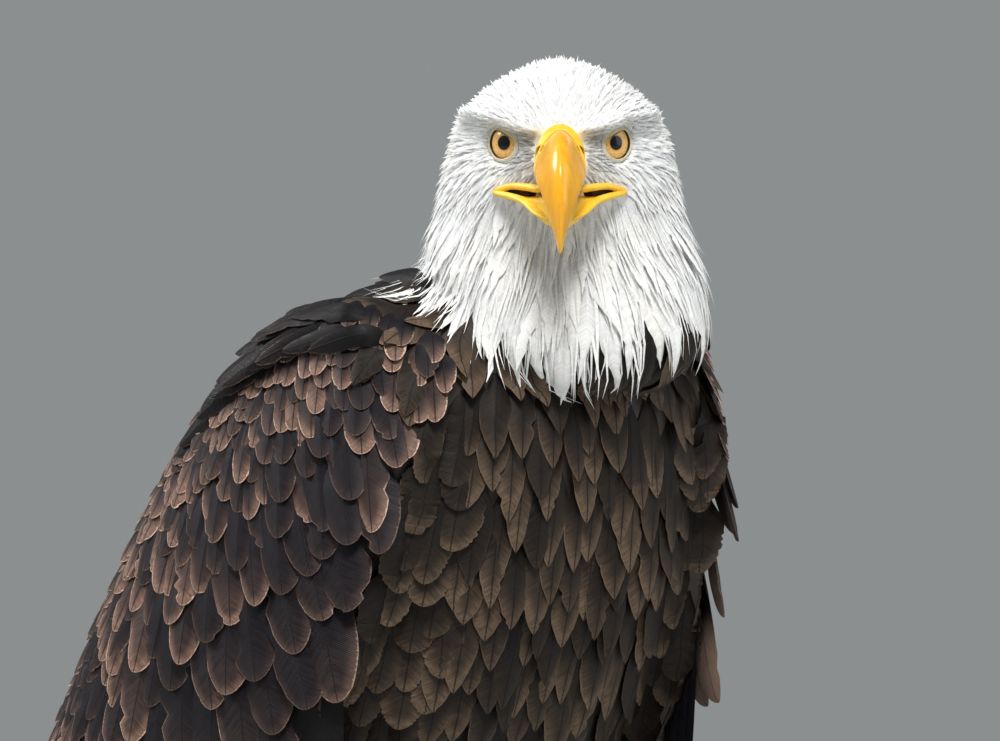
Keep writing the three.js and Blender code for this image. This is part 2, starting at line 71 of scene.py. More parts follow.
# Upper bill: forward, up, half width, reach upwards, reach downwards. Lower bill: the same, cut level.
BILL_ROWS = [
    [20, -4, 9.8, 11, 13],
    [30, -3.5, 9.6, 11.4, 13.5],
    [42, -4.5, 9.4, 11.6, 14],
    [53, -8, 9.0, 12, 12.5],
    [62, -14.5, 7.8, 10.2, 10.5],
    [66.5, -24, 5.6, 6.8, 8],
    [67.5, -34, 3.1, 3.7, 4.8],
    [66, -44.5, 0.7, 0.9, 1],
]
RIDGE = {"cere": 0.1, "horn": 0.24, "edge": 0.46}  # how much each narrows towards its top
CERE_END = {"forward": 38.5, "slope": 0.22}
NOSTRIL = {"side": 9.0, "forward": 37.8, "up": -4.0, "half": [2.6, 1.5, 3.3], "lean": 0.3}
JAW_ROWS = [
    [12, -19.5, 19, 1.5, 3],
    [20, -20.8, 18.6, 0.5, 4.6],
    [27, -22, 16, 0.6, 7.4],
    [34, -23.2, 12.5, 1.4, 9.6],
    [42, -24.4, 9, 3, 10.4],
    [49, -25.6, 6.2, 3.6, 8.8],
    [54, -26.6, 4.2, 3.0, 6.4],
    [57.5, -27.6, 2.2, 1.6, 3.2],
    [58.8, -28.2, 0.6, 0.5, 0.9],
]
# Fleshy edges of the gape: sideways, forward, up, half width, half height.
LIP_UPPER = [
    [5.5, 40, -18, 1.6, 2.4],
    [9, 36, -18.6, 1.6, 2.5],
    [13, 30.8, -18.0, 1.6, 1.75],
    [19.5, 24.2, -17.4, 1.4, 1.25],
    [24.6, 18.8, -18.6, 1.3, 1.1],
    [27, 15.6, -19.5, 0.9, 0.8],
]
LIP_LOWER = [
    [4.5, 49, -31.5, 0.5, 0.8],
    [8.3, 42, -28.6, 1.4, 3.2],
    [13.4, 33.2, -24.3, 1.6, 2.7],
    [19, 26.6, -22.0, 1.5, 1.75],
    [24.6, 19.6, -20.5, 1.3, 1.4],
    [27, 16, -19.8, 0.9, 0.8],
]
# The line of the trunk from tail to neck: back, up.
SPINE = [[268, 170], [196, 248], [138, 308], [80, 372], [30, 432], [-6, 484], [-40, 546]]
# Right wing: upper edge from wrist to tip, lower edge, and the outward bulge between them.
WING_ROWS = [
    [-64, -50, 516, -70, -71, 488, 3],
    [-84, -13, 530, -91, -53, 429, 10],
    [-91, 27, 516, -97, -34, 360, 16],
    [-93, 65, 488, -99, -8, 298, 22],
    [-91, 101, 447, -100, 38, 244, 26],
    [-84, 139, 400, -99, 88, 196, 29],
    [-68, 182, 347, -97, 138, 152, 31],
    [-47, 224, 284, -88, 200, 124, 30],
    [-31, 270, 216, -76, 262, 104, 22],
    [-24, 330, 146, -60, 336, 90, 13],
    [-28, 396, 78, -46, 402, 54, 5],
]
WING_FOLD = 0.6
TAIL = {"count": 12, "root": [0, 236, 212], "length": 252, "pitch": 50.5, "half": [20, 66], "droop": 6}
THIGH_LINE = [[46, 92, 262], [52, 76, 205], [53, 69, 148], [52, 70, 90]]
ANKLE = [52, 61, 11]
TOES = {"inner": (-34, 56, 9), "middle": (2, 78, 8.6), "outer": (40, 62, 8), "hind": (176, 42, 9.4)}

SKIN = {"voxel": 2.6, "smooth": 6, "closing": 13}
# How low the white feathers hang: the tips' height under the eyes, from the bird's right to its left.
HEM = {"side": [-60, -36, -6, 26, 60], "front": [-72, -83, -102, -96, -91], "back": -82}
COAT_DEPTH = {"head": 2.6, "trunk": 7.0, "wing": 4.5, "thigh": 6.0, "leg": 0.0}

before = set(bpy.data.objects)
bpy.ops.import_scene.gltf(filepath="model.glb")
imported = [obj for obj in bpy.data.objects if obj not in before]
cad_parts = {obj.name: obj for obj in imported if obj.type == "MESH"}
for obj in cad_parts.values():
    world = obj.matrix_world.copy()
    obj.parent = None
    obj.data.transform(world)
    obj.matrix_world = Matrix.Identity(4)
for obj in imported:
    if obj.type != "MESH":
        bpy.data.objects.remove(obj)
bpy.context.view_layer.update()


# ---------------------------------------------------------------- places
def unit(vectors):
    return vectors / np.maximum(np.linalg.norm(vectors, axis=-1, keepdims=True), 1e-12)


def dot(a, b):
    return (a * b).sum(-1, keepdims=True)


def smoothstep(low, high, value):
    share = np.clip((value - low) / (high - low), 0, 1)
    return share * share * (3 - 2 * share)


def centre_of(node):
    low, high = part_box(node)
    return np.array((low + high) / 2)


EYES = {"right": centre_of("eye_right"), "left": centre_of("eye_left")}
HEAD_X = unit(EYES["left"] - EYES["right"])
HEAD_AXES = np.array([HEAD_X, np.cross([0, 0, 1.0], HEAD_X), [0, 0, 1.0]])
HEAD_ORIGIN = (
    (EYES["left"] + EYES["right"]) / 2 - np.array([0, -EYE["forward"], EYE["up"]]) * MM @ HEAD_AXES
)
STANCE = HEAD_ORIGIN - HEAD_PLACE * MM  # the middle of the stance


def from_head(points):
    """Millimetres in the head's frame to metres in the model's."""
    return HEAD_ORIGIN + np.asarray(points, float) * MM @ HEAD_AXES


def to_head(points):
    return (points - HEAD_ORIGIN) @ HEAD_AXES.T / MM


def from_stance(points):
    """Millimetres from mid-stance to metres in the model's frame."""
    return STANCE + np.asarray(points, float) * MM


def resample(rows, count):
    """Rows of numbers, resampled to count rows along a smooth curve through them."""
    rows = np.asarray(rows, float)
    place = np.linspace(0, len(rows) - 1, count)
    k = np.minimum(place.astype(int), len(rows) - 2)
    f = (place - k)[:, None]
    a, b, c, d = (rows[np.clip(k + n, 0, len(rows) - 1)] for n in (-1, 0, 1, 2))
    bend = 2 * a - 5 * b + 4 * c - d
    twist = 3 * b - a - 3 * c + d
    return 0.5 * (2 * b + (c - a) * f + bend * f**2 + twist * f**3)


def curved(value, power):
    return np.sign(value) * np.abs(value) ** power


# ---------------------------------------------------------------- meshes
def add_mesh(name, points, faces, materials, uv=None, attributes=None, face_material=None):
    """A smooth-shaded object from points and a list of face arrays. uv and attributes are given per point."""
    mesh = bpy.data.meshes.new(name)
    corners = np.concatenate([f.ravel() for f in faces]).astype(np.int32)
    sides = np.concatenate([np.full(len(f), f.shape[1]) for f in faces])
    starts = np.concatenate([[0], np.cumsum(sides)[:-1]]).astype(np.int32)
    mesh.vertices.add(len(points))
    mesh.vertices.foreach_set("co", np.ascontiguousarray(points, np.float32).ravel())
    mesh.loops.add(len(corners))
    mesh.loops.foreach_set("vertex_index", corners)
    mesh.polygons.add(len(starts))
    mesh.polygons.foreach_set("loop_start", starts)
    mesh.polygons.foreach_set("use_smooth", np.ones(len(starts), bool))
    if face_material is not None:
        mesh.polygons.foreach_set("material_index", face_material.astype(np.int32))
    for key, values in (attributes or {}).items():
        made = mesh.attributes.new(key, "FLOAT_VECTOR", "POINT")
        made.data.foreach_set("vector", np.ascontiguousarray(values, np.float32).ravel())
    if uv is not None:
        layer = mesh.uv_layers.new(name="OFBake")
        layer.data.foreach_set("uv", np.ascontiguousarray(uv[corners], np.float32).ravel())
    mesh.update(calc_edges=True)
    mesh.validate()
    for material in materials:
        mesh.materials.append(material)
    piece = bpy.data.objects.new(name, mesh)
    bpy.context.scene.collection.objects.link(piece)
    return piece


def settle(piece, slot, *nodes):
    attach(piece, "root")
    if nodes:
        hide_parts(*nodes)
    return piece


def loft(rings):
    """Points and faces of a closed surface through rings of shape (rows, sides, 3), facing out."""
    rows, sides = rings.shape[:2]
    grid = np.arange(rows * sides).reshape(rows, sides)
    beside = np.roll(grid, -1, axis=1)
    quads = np.stack([grid[:-1], beside[:-1], beside[1:], grid[1:]], -1).reshape(-1, 4)
    ends = [
        np.stack([np.full(sides, rows * sides), beside[0], grid[0]], -1),
        np.stack([np.full(sides, rows * sides + 1), grid[-1], beside[-1]], -1),
    ]
    points = np.concatenate([rings.reshape(-1, 3), rings[[0, -1]].mean(axis=1)])
    faces = [quads, np.concatenate(ends)]
    corner = points[quads - 0] - points.mean(axis=0)
    volume = dot(corner[:, 0], np.cross(corner[:, 1], corner[:, 2]) + np.cross(corner[:, 2], corner[:, 3])).sum()
    return points, faces if volume > 0 else [f[:, ::-1] for f in faces]


def joined(parts):
    """Several (points, faces) as one."""
    points, faces, start = [], [], 0
    for part_points, part_faces in parts:
        points.append(part_points)
        faces += [f + start for f in part_faces]
        start += len(part_points)
    return np.concatenate(points), faces


def limb(rows, sides, across):
    """Rings of a round limb along a path. Each row is a point, half width and half depth."""
    at = rows[:, :3]
    ahead = unit(np.gradient(at, axis=0))
    normal = unit(np.cross(ahead, across))
    side = np.cross(normal, ahead)
    angle = np.linspace(0, 2 * math.pi, sides, endpoint=False)
    wide = rows[:, 3, None] * np.cos(angle)
    deep = rows[:, 4, None] * np.sin(angle)
    return at[:, None] + side[:, None] * wide[..., None] + normal[:, None] * deep[..., None]


def mirrored(points):
    return points * [-1, 1, 1]


# ---------------------------------------------------------------- shader helpers
def new_material(name):
    material = bpy.data.materials.new(name)
    material.use_nodes = True
    tree = material.node_tree
    tree.nodes.clear()
    shader = tree.nodes.new("ShaderNodeBsdfPrincipled")
    output = tree.nodes.new("ShaderNodeOutputMaterial")
    tree.links.new(shader.outputs[0], output.inputs["Surface"])
    return material, tree, shader


def plug(tree, socket, value):
    if isinstance(value, bpy.types.NodeSocket):
        tree.links.new(value, socket)
    else:
        socket.default_value = value


def maths(tree, operation, *values):
    made = tree.nodes.new("ShaderNodeMath")
    made.operation = operation
    for socket, value in zip(made.inputs, values):
        plug(tree, socket, value)
    return made.outputs[0]


def ramp(tree, value, low, high, out_low=0.0, out_high=1.0):
    made = tree.nodes.new("ShaderNodeMapRange")
    made.interpolation_type = "SMOOTHSTEP"
    for key, number in zip(("Value", "From Min", "From Max", "To Min", "To Max"), (value, low, high, out_low, out_high)):
        plug(tree, made.inputs[key], number)
    return made.outputs[0]


def mix(tree, share, first, second, blend="MIX"):
    made = tree.nodes.new("ShaderNodeMix")
    made.data_type = "RGBA"
    made.blend_type = blend
    for index, value in ((0, share), (6, first), (7, second)):
        plug(tree, made.inputs[index], value)
    return made.outputs[2]


def noise(tree, vector, scale, detail=3.0, rough=0.55):
    made = tree.nodes.new("ShaderNodeTexNoise")
    plug(tree, made.inputs["Vector"], vector)
    made.inputs["Scale"].default_value = scale
    made.inputs["Detail"].default_value = detail
    made.inputs["Roughness"].default_value = rough
    return made.outputs[0]


def cells(tree, vector, scale, feature="DISTANCE_TO_EDGE"):
    made = tree.nodes.new("ShaderNodeTexVoronoi")
    made.feature = feature
    plug(tree, made.inputs["Vector"], vector)
    made.inputs["Scale"].default_value = scale
    return made.outputs[0]


def triple(tree, x, y, z):
    made = tree.nodes.new("ShaderNodeCombineXYZ")
    for socket, value in zip(made.inputs, (x, y, z)):
        plug(tree, socket, value)
    return made.outputs[0]


def attribute(tree, name):
    """The three numbers of a point attribute."""
    made = tree.nodes.new("ShaderNodeAttribute")
    made.attribute_name = name
    parted = tree.nodes.new("ShaderNodeSeparateXYZ")
    tree.links.new(made.outputs["Vector"], parted.inputs[0])
    return parted.outputs[0], parted.outputs[1], parted.outputs[2]


def object_place(tree):
    return tree.nodes.new("ShaderNodeTexCoord").outputs["Object"]


def bump(tree, shader, height, distance, strength=1.0):
    made = tree.nodes.new("ShaderNodeBump")
    made.inputs["Strength"].default_value = strength
    made.inputs["Distance"].default_value = distance
    tree.links.new(height, made.inputs["Height"])
    tree.links.new(made.outputs[0], shader.inputs["Normal"])


def rgb(*values):
    return (*values, 1.0)


# ---------------------------------------------------------------- feather materials
# Each vane carries "vane": across, along and distance to its edge in mm, and "feather": random, share, tone. On the
# white head the tone also carries painted shade under the brow and under the bill.
def barbs(tree, across, along, random):
    """Fine lines that run outwards and towards the tip, as height and as broken streaks."""
    side = maths(tree, "ABSOLUTE", across)
    slant = maths(tree, "SUBTRACT", along, maths(tree, "MULTIPLY", side, 0.75))
    fine = maths(tree, "SINE", maths(tree, "MULTIPLY", slant, 2 * math.pi / 0.85))
    place = triple(tree, maths(tree, "MULTIPLY", slant, 0.9), maths(tree, "MULTIPLY", side, 0.09),
                   maths(tree, "MULTIPLY", random, 37.0))
    return fine, noise(tree, place, 1.0, 2.0, 0.6)


def brown_feathers(name, dark, brown, fringe, rim, *, spread=(0.9, 4.5), start=0.45, sheen=(0.5, 0.45, 0.72)):
    """Dark along the shaft and towards the root, browner towards the edge and tip, with a pale worn rim. The darkness
    towards the root is painted shade under the overlapping feathers.
    """
    material, tree, shader = new_material(name)
    across, along, edge = attribute(tree, "vane")
    random, share, tone = attribute(tree, "feather")
    fine, streaks = barbs(tree, across, along, random)
    patches = noise(tree, object_place(tree), 30.0, 4.0)
    worn = maths(tree, "ADD", maths(tree, "MULTIPLY", random, 0.75), maths(tree, "MULTIPLY", patches, 0.6))
    worn = maths(tree, "ADD", worn, tone)
    ragged = maths(tree, "ADD", edge, maths(tree, "MULTIPLY", maths(tree, "SUBTRACT", streaks, 0.5), 2.2))
    near_edge = ramp(tree, ragged, spread[0], spread[1], 1.0, 0.0)
    # near_tip keeps the root end dark: painted shade under the feathers that overlap it.
    near_tip = ramp(tree, share, start, 1.0, 0.0, 1.0)
    browned = maths(tree, "MULTIPLY", near_edge, near_tip)
    browned = maths(tree, "ADD", browned, maths(tree, "MULTIPLY", near_tip, 0.25))
    browned = maths(tree, "MULTIPLY", browned, ramp(tree, worn, 0.3, 1.25, 0.12, 1.25))
    browned = maths(tree, "ADD", browned, ramp(tree, worn, 0.75, 1.6, 0.0, 0.35))
    colour = mix(tree, maths(tree, "MINIMUM", browned, 1.0), rgb(*dark), rgb(*brown))
    streak = ramp(tree, streaks, 0.25, 0.75, 0.62, 1.4)
    colour = mix(tree, 1.0, colour, triple(tree, streak, streak, streak), "MULTIPLY")
    at_edge = ramp(tree, ragged, 0.1 * rim, rim, 1.0, 0.0)
    faded = maths(tree, "MULTIPLY", at_edge, ramp(tree, share, start, start + 0.35))
    faded = maths(tree, "MULTIPLY", faded, ramp(tree, worn, 0.3, 1.1, 0.15, 1.0))
    colour = mix(tree, faded, colour, rgb(*fringe))
    shaft = ramp(tree, maths(tree, "ABSOLUTE", across), 0.2, 0.45, 1.0, 0.0)
    colour = mix(tree, maths(tree, "MULTIPLY", shaft, 0.75), colour, rgb(*[0.45 * c for c in dark]))
    plug(tree, shader.inputs["Base Color"], colour)
    plug(tree, shader.inputs["Roughness"], ramp(tree, streaks, 0.2, 0.8, 0.38, 0.62))
    shader.inputs["Specular IOR Level"].default_value = 0.16
    shader.inputs["Sheen Weight"].default_value = 0.02
    shader.inputs["Sheen Roughness"].default_value = 0.35
    shader.inputs["Sheen Tint"].default_value = rgb(*sheen)
    height = maths(tree, "ADD", maths(tree, "MULTIPLY", fine, 0.3), maths(tree, "ADD", streaks, shaft))
    bump(tree, shader, height, 0.00018, 0.6)
    return material


def white_feathers(name, root, tip, tint, streak_depth=0.2):
    material, tree, shader = new_material(name)
    across, along, edge = attribute(tree, "vane")
    random, share, tone = attribute(tree, "feather")
    fine, streaks = barbs(tree, across, along, random)
    patches = noise(tree, object_place(tree), 55.0, 3.0)
    # Greyer towards the root: painted shade where each feather lies under the ones above it.
    colour = mix(tree, ramp(tree, share, 0.1, 0.75), rgb(*root), rgb(*tip))
    warm = maths(tree, "MULTIPLY", ramp(tree, patches, 0.45, 0.75), ramp(tree, random, 0.2, 1.0, 0.1, 0.55))
    colour = mix(tree, warm, colour, rgb(*tint))
    shade = maths(tree, "MULTIPLY", ramp(tree, random, 0.0, 1.0, 0.9, 1.04),
                  ramp(tree, streaks, 0.25, 0.75, 1 - streak_depth, 1 + 0.4 * streak_depth))
    # Tone darkens each feather; on the head it holds painted shade under the brow and under the bill.
    shade = maths(tree, "MULTIPLY", shade, maths(tree, "SUBTRACT", 1.0, tone))
    colour = mix(tree, 1.0, colour, triple(tree, shade, shade, shade), "MULTIPLY")
    plug(tree, shader.inputs["Base Color"], colour)
    plug(tree, shader.inputs["Roughness"], ramp(tree, streaks, 0.2, 0.8, 0.6, 0.8))
    shader.inputs["Specular IOR Level"].default_value = 0.25
    shader.inputs["Sheen Weight"].default_value = 0.15
    shader.inputs["Sheen Roughness"].default_value = 0.5
    height = maths(tree, "ADD", maths(tree, "MULTIPLY", fine, 0.3), streaks)
    bump(tree, shader, height, 0.00015, 0.4)
    return material


# ---------------------------------------------------------------- skin and bare parts: materials
def skin_material():
    """Painted by the point attribute "flesh": share of bare yellow leg, share of white plumage, depth of fold."""
    material, tree, shader = new_material("skin")
    leg, white, fold = attribute(tree, "flesh")
    place = object_place(tree)
    blotch = noise(tree, place, 90.0, 4.0)
    under_brown = mix(tree, blotch, rgb(0.022, 0.016, 0.013), rgb(0.05, 0.036, 0.028))
    under_white = mix(tree, blotch, rgb(0.74, 0.74, 0.73), rgb(0.82, 0.82, 0.81))
    colour = mix(tree, white, under_brown, under_white)
    scales = cells(tree, place, 360.0)
    crease = ramp(tree, scales, 0.0, 0.12)
    yellow = mix(tree, blotch, rgb(0.62, 0.36, 0.03), rgb(0.86, 0.56, 0.08))
    yellow = mix(tree, crease, rgb(0.36, 0.2, 0.03), yellow)
    colour = mix(tree, leg, colour, yellow)
    plug(tree, shader.inputs["Base Color"], colour)
    plug(tree, shader.inputs["Roughness"], ramp(tree, blotch, 0.2, 0.8, 0.45, 0.65))
    bump(tree, shader, maths(tree, "MULTIPLY", crease, leg), 0.0005, 0.8)
    return material


def horn_material(name, deep, bright, rough, streak_scale):
    """Glossy horn with fine streaks along it and faint growth bands."""
    material, tree, shader = new_material(name)
    along, around, bare = attribute(tree, "horn")
    place = triple(tree, maths(tree, "MULTIPLY", along, 0.25), around, bare)
    streaks = noise(tree, place, streak_scale, 4.0)
    bands = noise(tree, triple(tree, along, maths(tree, "MULTIPLY", around, 0.1), 3.0), 0.55, 3.0)
    blend = maths(tree, "ADD", maths(tree, "MULTIPLY", streaks, 0.6), maths(tree, "MULTIPLY", bands, 0.5))
    colour = mix(tree, ramp(tree, blend, 0.35, 0.75), rgb(*deep), rgb(*bright))
    dirt = maths(tree, "MULTIPLY", ramp(tree, noise(tree, object_place(tree), 260.0, 5.0), 0.58, 0.78), 0.2)
    colour = mix(tree, dirt, colour, rgb(*[0.45 * c for c in deep]))
    # The nostril openings are painted near-black: painted shade inside the holes.
    colour = mix(tree, bare, colour, rgb(0.012, 0.008, 0.006))
    plug(tree, shader.inputs["Base Color"], colour)
    plug(tree, shader.inputs["Roughness"], ramp(tree, blend, 0.3, 0.8, rough + 0.1, rough))
    shader.inputs["Coat Weight"].default_value = 0.25
    shader.inputs["Coat Roughness"].default_value = 0.18
    shader.inputs["Subsurface Weight"].default_value = 0.06
    shader.inputs["Subsurface Radius"].default_value = (0.004, 0.002, 0.001)
    bump(tree, shader, maths(tree, "ADD", streaks, bands), 0.00022, 0.55)
    return material


def cere_material():
    material, tree, shader = new_material("cere")
    along, around, bare = attribute(tree, "horn")
    place = object_place(tree)
    pores = noise(tree, place, 900.0, 3.0)
    wrinkles = cells(tree, place, 420.0)
    blotch = noise(tree, place, 160.0, 3.0)
    colour = mix(tree, ramp(tree, blotch, 0.3, 0.75), rgb(0.84, 0.48, 0.02), rgb(0.92, 0.62, 0.05))
    # The wrinkle lines are painted darker: painted shade in the creases.
    colour = mix(tree, ramp(tree, wrinkles, 0.0, 0.1, 0.1, 0.0), colour, rgb(0.5, 0.24, 0.03))
    # The nostril openings are painted near-black: painted shade inside the holes.
    colour = mix(tree, bare, colour, rgb(0.012, 0.008, 0.006))
    plug(tree, shader.inputs["Base Color"], colour)
    plug(tree, shader.inputs["Roughness"], ramp(tree, pores, 0.2, 0.8, 0.36, 0.52))
    shader.inputs["Coat Weight"].default_value = 0.12
    shader.inputs["Coat Roughness"].default_value = 0.3
    shader.inputs["Subsurface Weight"].default_value = 0.1
    shader.inputs["Subsurface Radius"].default_value = (0.004, 0.002, 0.001)
    bump(tree, shader, maths(tree, "ADD", pores, ramp(tree, wrinkles, 0.0, 0.15, 0.0, 0.3)), 0.00015, 0.5)
    return material


def mouth_shade_material():
    # A near-black piece behind the lips: painted shade in the closed gape.
    material, tree, shader = new_material("mouth_painted_shade")
    blotch = noise(tree, object_place(tree), 300.0, 3.0)
    plug(tree, shader.inputs["Base Color"], mix(tree, blotch, rgb(0.012, 0.005, 0.004), rgb(0.04, 0.016, 0.012)))
    shader.inputs["Roughness"].default_value = 0.6
    shader.inputs["Specular IOR Level"].default_value = 0.2
    bump(tree, shader, blotch, 0.0003, 0.5)
    return material


def eye_material():
    """Painted by "gaze": distance from the middle of the pupil and place around it."""
    material, tree, shader = new_material("eye")
    away, cosine, sine = attribute(tree, "gaze")
    spokes = noise(tree, triple(tree, maths(tree, "MULTIPLY", cosine, 7.0), maths(tree, "MULTIPLY", sine, 7.0),
                                maths(tree, "MULTIPLY", away, 0.35)), 1.6, 4.0, 0.7)
    specks = noise(tree, triple(tree, cosine, sine, away), 3.2, 3.0, 0.7)
    iris = mix(tree, ramp(tree, spokes, 0.35, 0.7), rgb(0.8, 0.4, 0.09), rgb(0.95, 0.62, 0.24))
    iris = mix(tree, ramp(tree, specks, 0.56, 0.66, 0.0, 0.75), iris, rgb(0.16, 0.06, 0.02))
    iris = mix(tree, ramp(tree, away, PUPIL, PUPIL + 0.9, 0.4, 0.0), iris, rgb(0.35, 0.15, 0.04))
    iris = mix(tree, ramp(tree, away, IRIS - 0.9, IRIS - 0.1), iris, rgb(0.05, 0.03, 0.02))
    ragged = maths(tree, "ADD", away, maths(tree, "MULTIPLY", spokes, 0.12))
    colour = mix(tree, ramp(tree, ragged, PUPIL - 0.1, PUPIL + 0.12), rgb(0.002, 0.002, 0.003), iris)
    plug(tree, shader.inputs["Base Color"], colour)
    shader.inputs["Roughness"].default_value = 0.3
    shader.inputs["Specular IOR Level"].default_value = 0.15
    shader.inputs["Coat Weight"].default_value = 0.55
    shader.inputs["Coat Roughness"].default_value = 0.02
    return material


def lid_material():
    """Painted by "lid": 0 at the wet inner rim, 1 where the lid meets the feathers."""
    material, tree, shader = new_material("eyelid")
    out, _, _ = attribute(tree, "lid")
    place = object_place(tree)
    folds = cells(tree, place, 700.0)
    blotch = noise(tree, place, 300.0, 3.0)
    skin = mix(tree, blotch, rgb(0.55, 0.53, 0.46), rgb(0.74, 0.71, 0.62))
    # The fold lines are painted darker: painted shade in the creases.
    skin = mix(tree, ramp(tree, folds, 0.0, 0.12, 0.3, 0.0), skin, rgb(0.28, 0.24, 0.17))
    skin = mix(tree, ramp(tree, out, 0.25, 0.5, 0.7, 0.0), skin, rgb(0.7, 0.55, 0.2))
    colour = mix(tree, ramp(tree, out, 0.08, 0.2), rgb(0.012, 0.01, 0.01), skin)
    plug(tree, shader.inputs["Base Color"], colour)
    plug(tree, shader.inputs["Roughness"], ramp(tree, out, 0.1, 0.6, 0.25, 0.6))
    bump(tree, shader, folds, 0.0002, 0.5)
    return material


# ---------------------------------------------------------------- skin
def node_mesh(name):
    """Points and triangles of a CAD node."""
    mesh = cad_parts[name].data
    mesh.calc_loop_triangles()
    points = np.empty(len(mesh.vertices) * 3)
    mesh.vertices.foreach_get("co", points)
    faces = np.empty(len(mesh.loop_triangles) * 3, np.int32)
    mesh.loop_triangles.foreach_get("vertices", faces)
    return points.reshape(-1, 3), [faces.reshape(-1, 3)]


def head_shell(shrink):
    """The head and neck under the plumage, as rings of points in the head's frame."""
    up, forward, half, front, back, corner = resample(HEAD_ROWS, 60).T[:, :, None]
    angle = np.linspace(0, 2 * math.pi, 96, endpoint=False)
    c, s = np.cos(angle), np.sin(angle)
    power = np.where(s > 0, 2 / corner, 1)
    reach = np.where(s > 0, front, back) - shrink
    x = (half - shrink) * curved(c, power)
    y = -forward - reach * curved(s, power)
    rings = np.stack([x, y, up + 0 * angle], -1)
    rings[..., 2] -= shrink * smoothstep(-10, 38, rings[..., 2])
    return rings


def brow_rings(shrink, rows=24, sides=16):
    line = resample(BROW_ROWS, rows)
    line[:, 1] *= -1
    line[:, 3:] = np.maximum(line[:, 3:] - shrink, 0.5)
    return limb(line, sides, [1, -1, 0])


def remeshed(piece, voxel):
    step = piece.modifiers.new("voxels", "REMESH")
    step.mode = "VOXEL"
    step.voxel_size = voxel * MM
    return step


def baked(piece):
    """Points, normals, quads and edges of a piece after its modifiers. The piece itself is removed."""
    made = piece.evaluated_get(bpy.context.evaluated_depsgraph_get()).to_mesh()
    found = []
    for items, key, width, kind in (
        (made.vertices, "co", 3, float), (made.vertices, "normal", 3, float),
        (made.polygons, "vertices", 4, np.int32), (made.edges, "vertices", 2, np.int32),
    ):
        values = np.empty(len(items) * width, kind)
        items.foreach_get(key, values)
        found.append(values.reshape(-1, width))
    bpy.data.objects.remove(piece)
    return found


def closed_body():
    """The trunk and the folded wings with the hollows between them filled, as plumage fills them."""
    rough = add_mesh("body_rough", *joined([node_mesh(n) for n in ("trunk", "wing_right", "wing_left")]), [])
    for reach in (SKIN["closing"], -SKIN["closing"]):
        remeshed(rough, 3.4)
        grow = rough.modifiers.new("grow", "DISPLACE")
        grow.strength = reach * MM
        grow.mid_level = 0
    points, _, quads, _ = baked(rough)
    return points, [quads]


def make_skin():
    shrink = COAT_DEPTH["head"]
    parts = [loft(from_head(head_shell(shrink)))]
    for rings in (brow_rings(1.2), mirrored(brow_rings(1.2))):
        parts.append(loft(from_head(rings)))
    kinds = {"trunk": "trunk"}
    for side in ("right", "left"):
        kinds |= {"wing_" + side: "wing", "thigh_" + side: "thigh", "tarsus_" + side: "leg", "foot_" + side: "leg"}
    for name in kinds:
        parts.append(node_mesh(name))
    rough = add_mesh("skin_rough", *joined([*parts, closed_body()]), [])
    remeshed(rough, SKIN["voxel"])
    relax = rough.modifiers.new("relax", "SMOOTH")
    relax.factor = 0.5
    relax.iterations = SKIN["smooth"]
    points, normals, quads, edges = baked(rough)

    # Which part lies nearest decides how deep the skin lies under the outline, and its colour.
    owners = ["head"] * 3 + list(kinds.values())
    surface, faces = joined(parts)
    owner = np.concatenate([np.full(sum(len(f) for f in part[1]), i) for i, part in enumerate(parts)])
    polygons = [f.tolist() for group in faces for f in group]
    tree = BVHTree.FromPolygons(surface.tolist(), polygons)
    kind = np.array(owners)[[owner[tree.find_nearest(p)[2]] for p in points]]
    depth = np.array([0.0 if k == "head" else COAT_DEPTH[k] for k in kind])
    place = to_head(points)
    white = ((kind == "head") & (place[:, 2] > hem(place) + 19)).astype(float)
    leg = (kind == "leg").astype(float)
    count = np.bincount(edges.ravel(), minlength=len(points))[:, None]

    def relaxed(values, times):
        for _ in range(times):
            total = np.zeros_like(values)
            np.add.at(total, edges[:, 0], values[edges[:, 1]])
            np.add.at(total, edges[:, 1], values[edges[:, 0]])
            values = 0.5 * values + 0.5 * total / count
        return values

    spread = relaxed(np.stack([depth, white], -1), 10)
    leg = relaxed(leg[:, None], 2)[:, 0]
    points = points - normals * spread[:, :1] * MM
    points = open_sockets(points)
    return points, quads, np.stack([leg, spread[:, 1], spread[:, 0]], -1), kind


def gaze(side):
    """The middle of an eye's globe, the way its opening faces, and towards the bill and up, square to that."""
    out = 1 if side == "left" else -1
    turn = math.radians(EYE["turn"])
    ahead = np.array([out * math.sin(turn), -math.cos(turn), 0.0]) @ HEAD_AXES
    up = np.array([0, 0, 1.0])
    return EYES[side] - EYE["sink"] * MM * ahead, ahead, -out * np.cross(up, ahead), up


def eye_depth(radius):
    """How far the eye's surface lies in front of the globe's middle, in mm, at a distance from its axis."""
    rim = math.sqrt(EYE["radius"] ** 2 - IRIS**2)
    globe = np.sqrt(np.maximum(EYE["radius"] ** 2 - radius**2, 0))
    return np.where(radius < IRIS, rim + EYE["dome"] * (1 - (radius / IRIS) ** 2), globe)


def lid_radius(angle):
    """The opening's half size at an angle from the bill's side, upwards: round, cut straight by the upper lid."""
    away = np.cos(angle - math.radians(LIDS["angle"]))
    chord = LIDS["cut"] / np.maximum(away, 0.05)
    both = np.stack([np.full_like(chord, LIDS["open"]), chord])
    return (both**-9.0).sum(axis=0) ** (-1 / 9.0)


def around_eye(points, side):
    """Distance in front of the globe's middle, distance from the axis, and the angle round it, in mm."""
    middle, ahead, inward, up = gaze(side)
    away = (points - middle) / MM
    front = away @ ahead
    u, v = away @ inward, away @ up
    return front, np.hypot(u, v), np.arctan2(v, u)


def open_sockets(points):
    """Pulls the skin back behind each eye's front so that only the lids meet the eye."""
    points = points.copy()
    for side in EYES:
        front, radial, _ = around_eye(points, side)
        inside = (front > 0) & (radial < 8.5)
        sink = smoothstep(8.5, 6.8, radial) * np.maximum(front - 2, 0)
        points[inside] -= (sink[:, None] * gaze(side)[1] * MM)[inside]
    return points


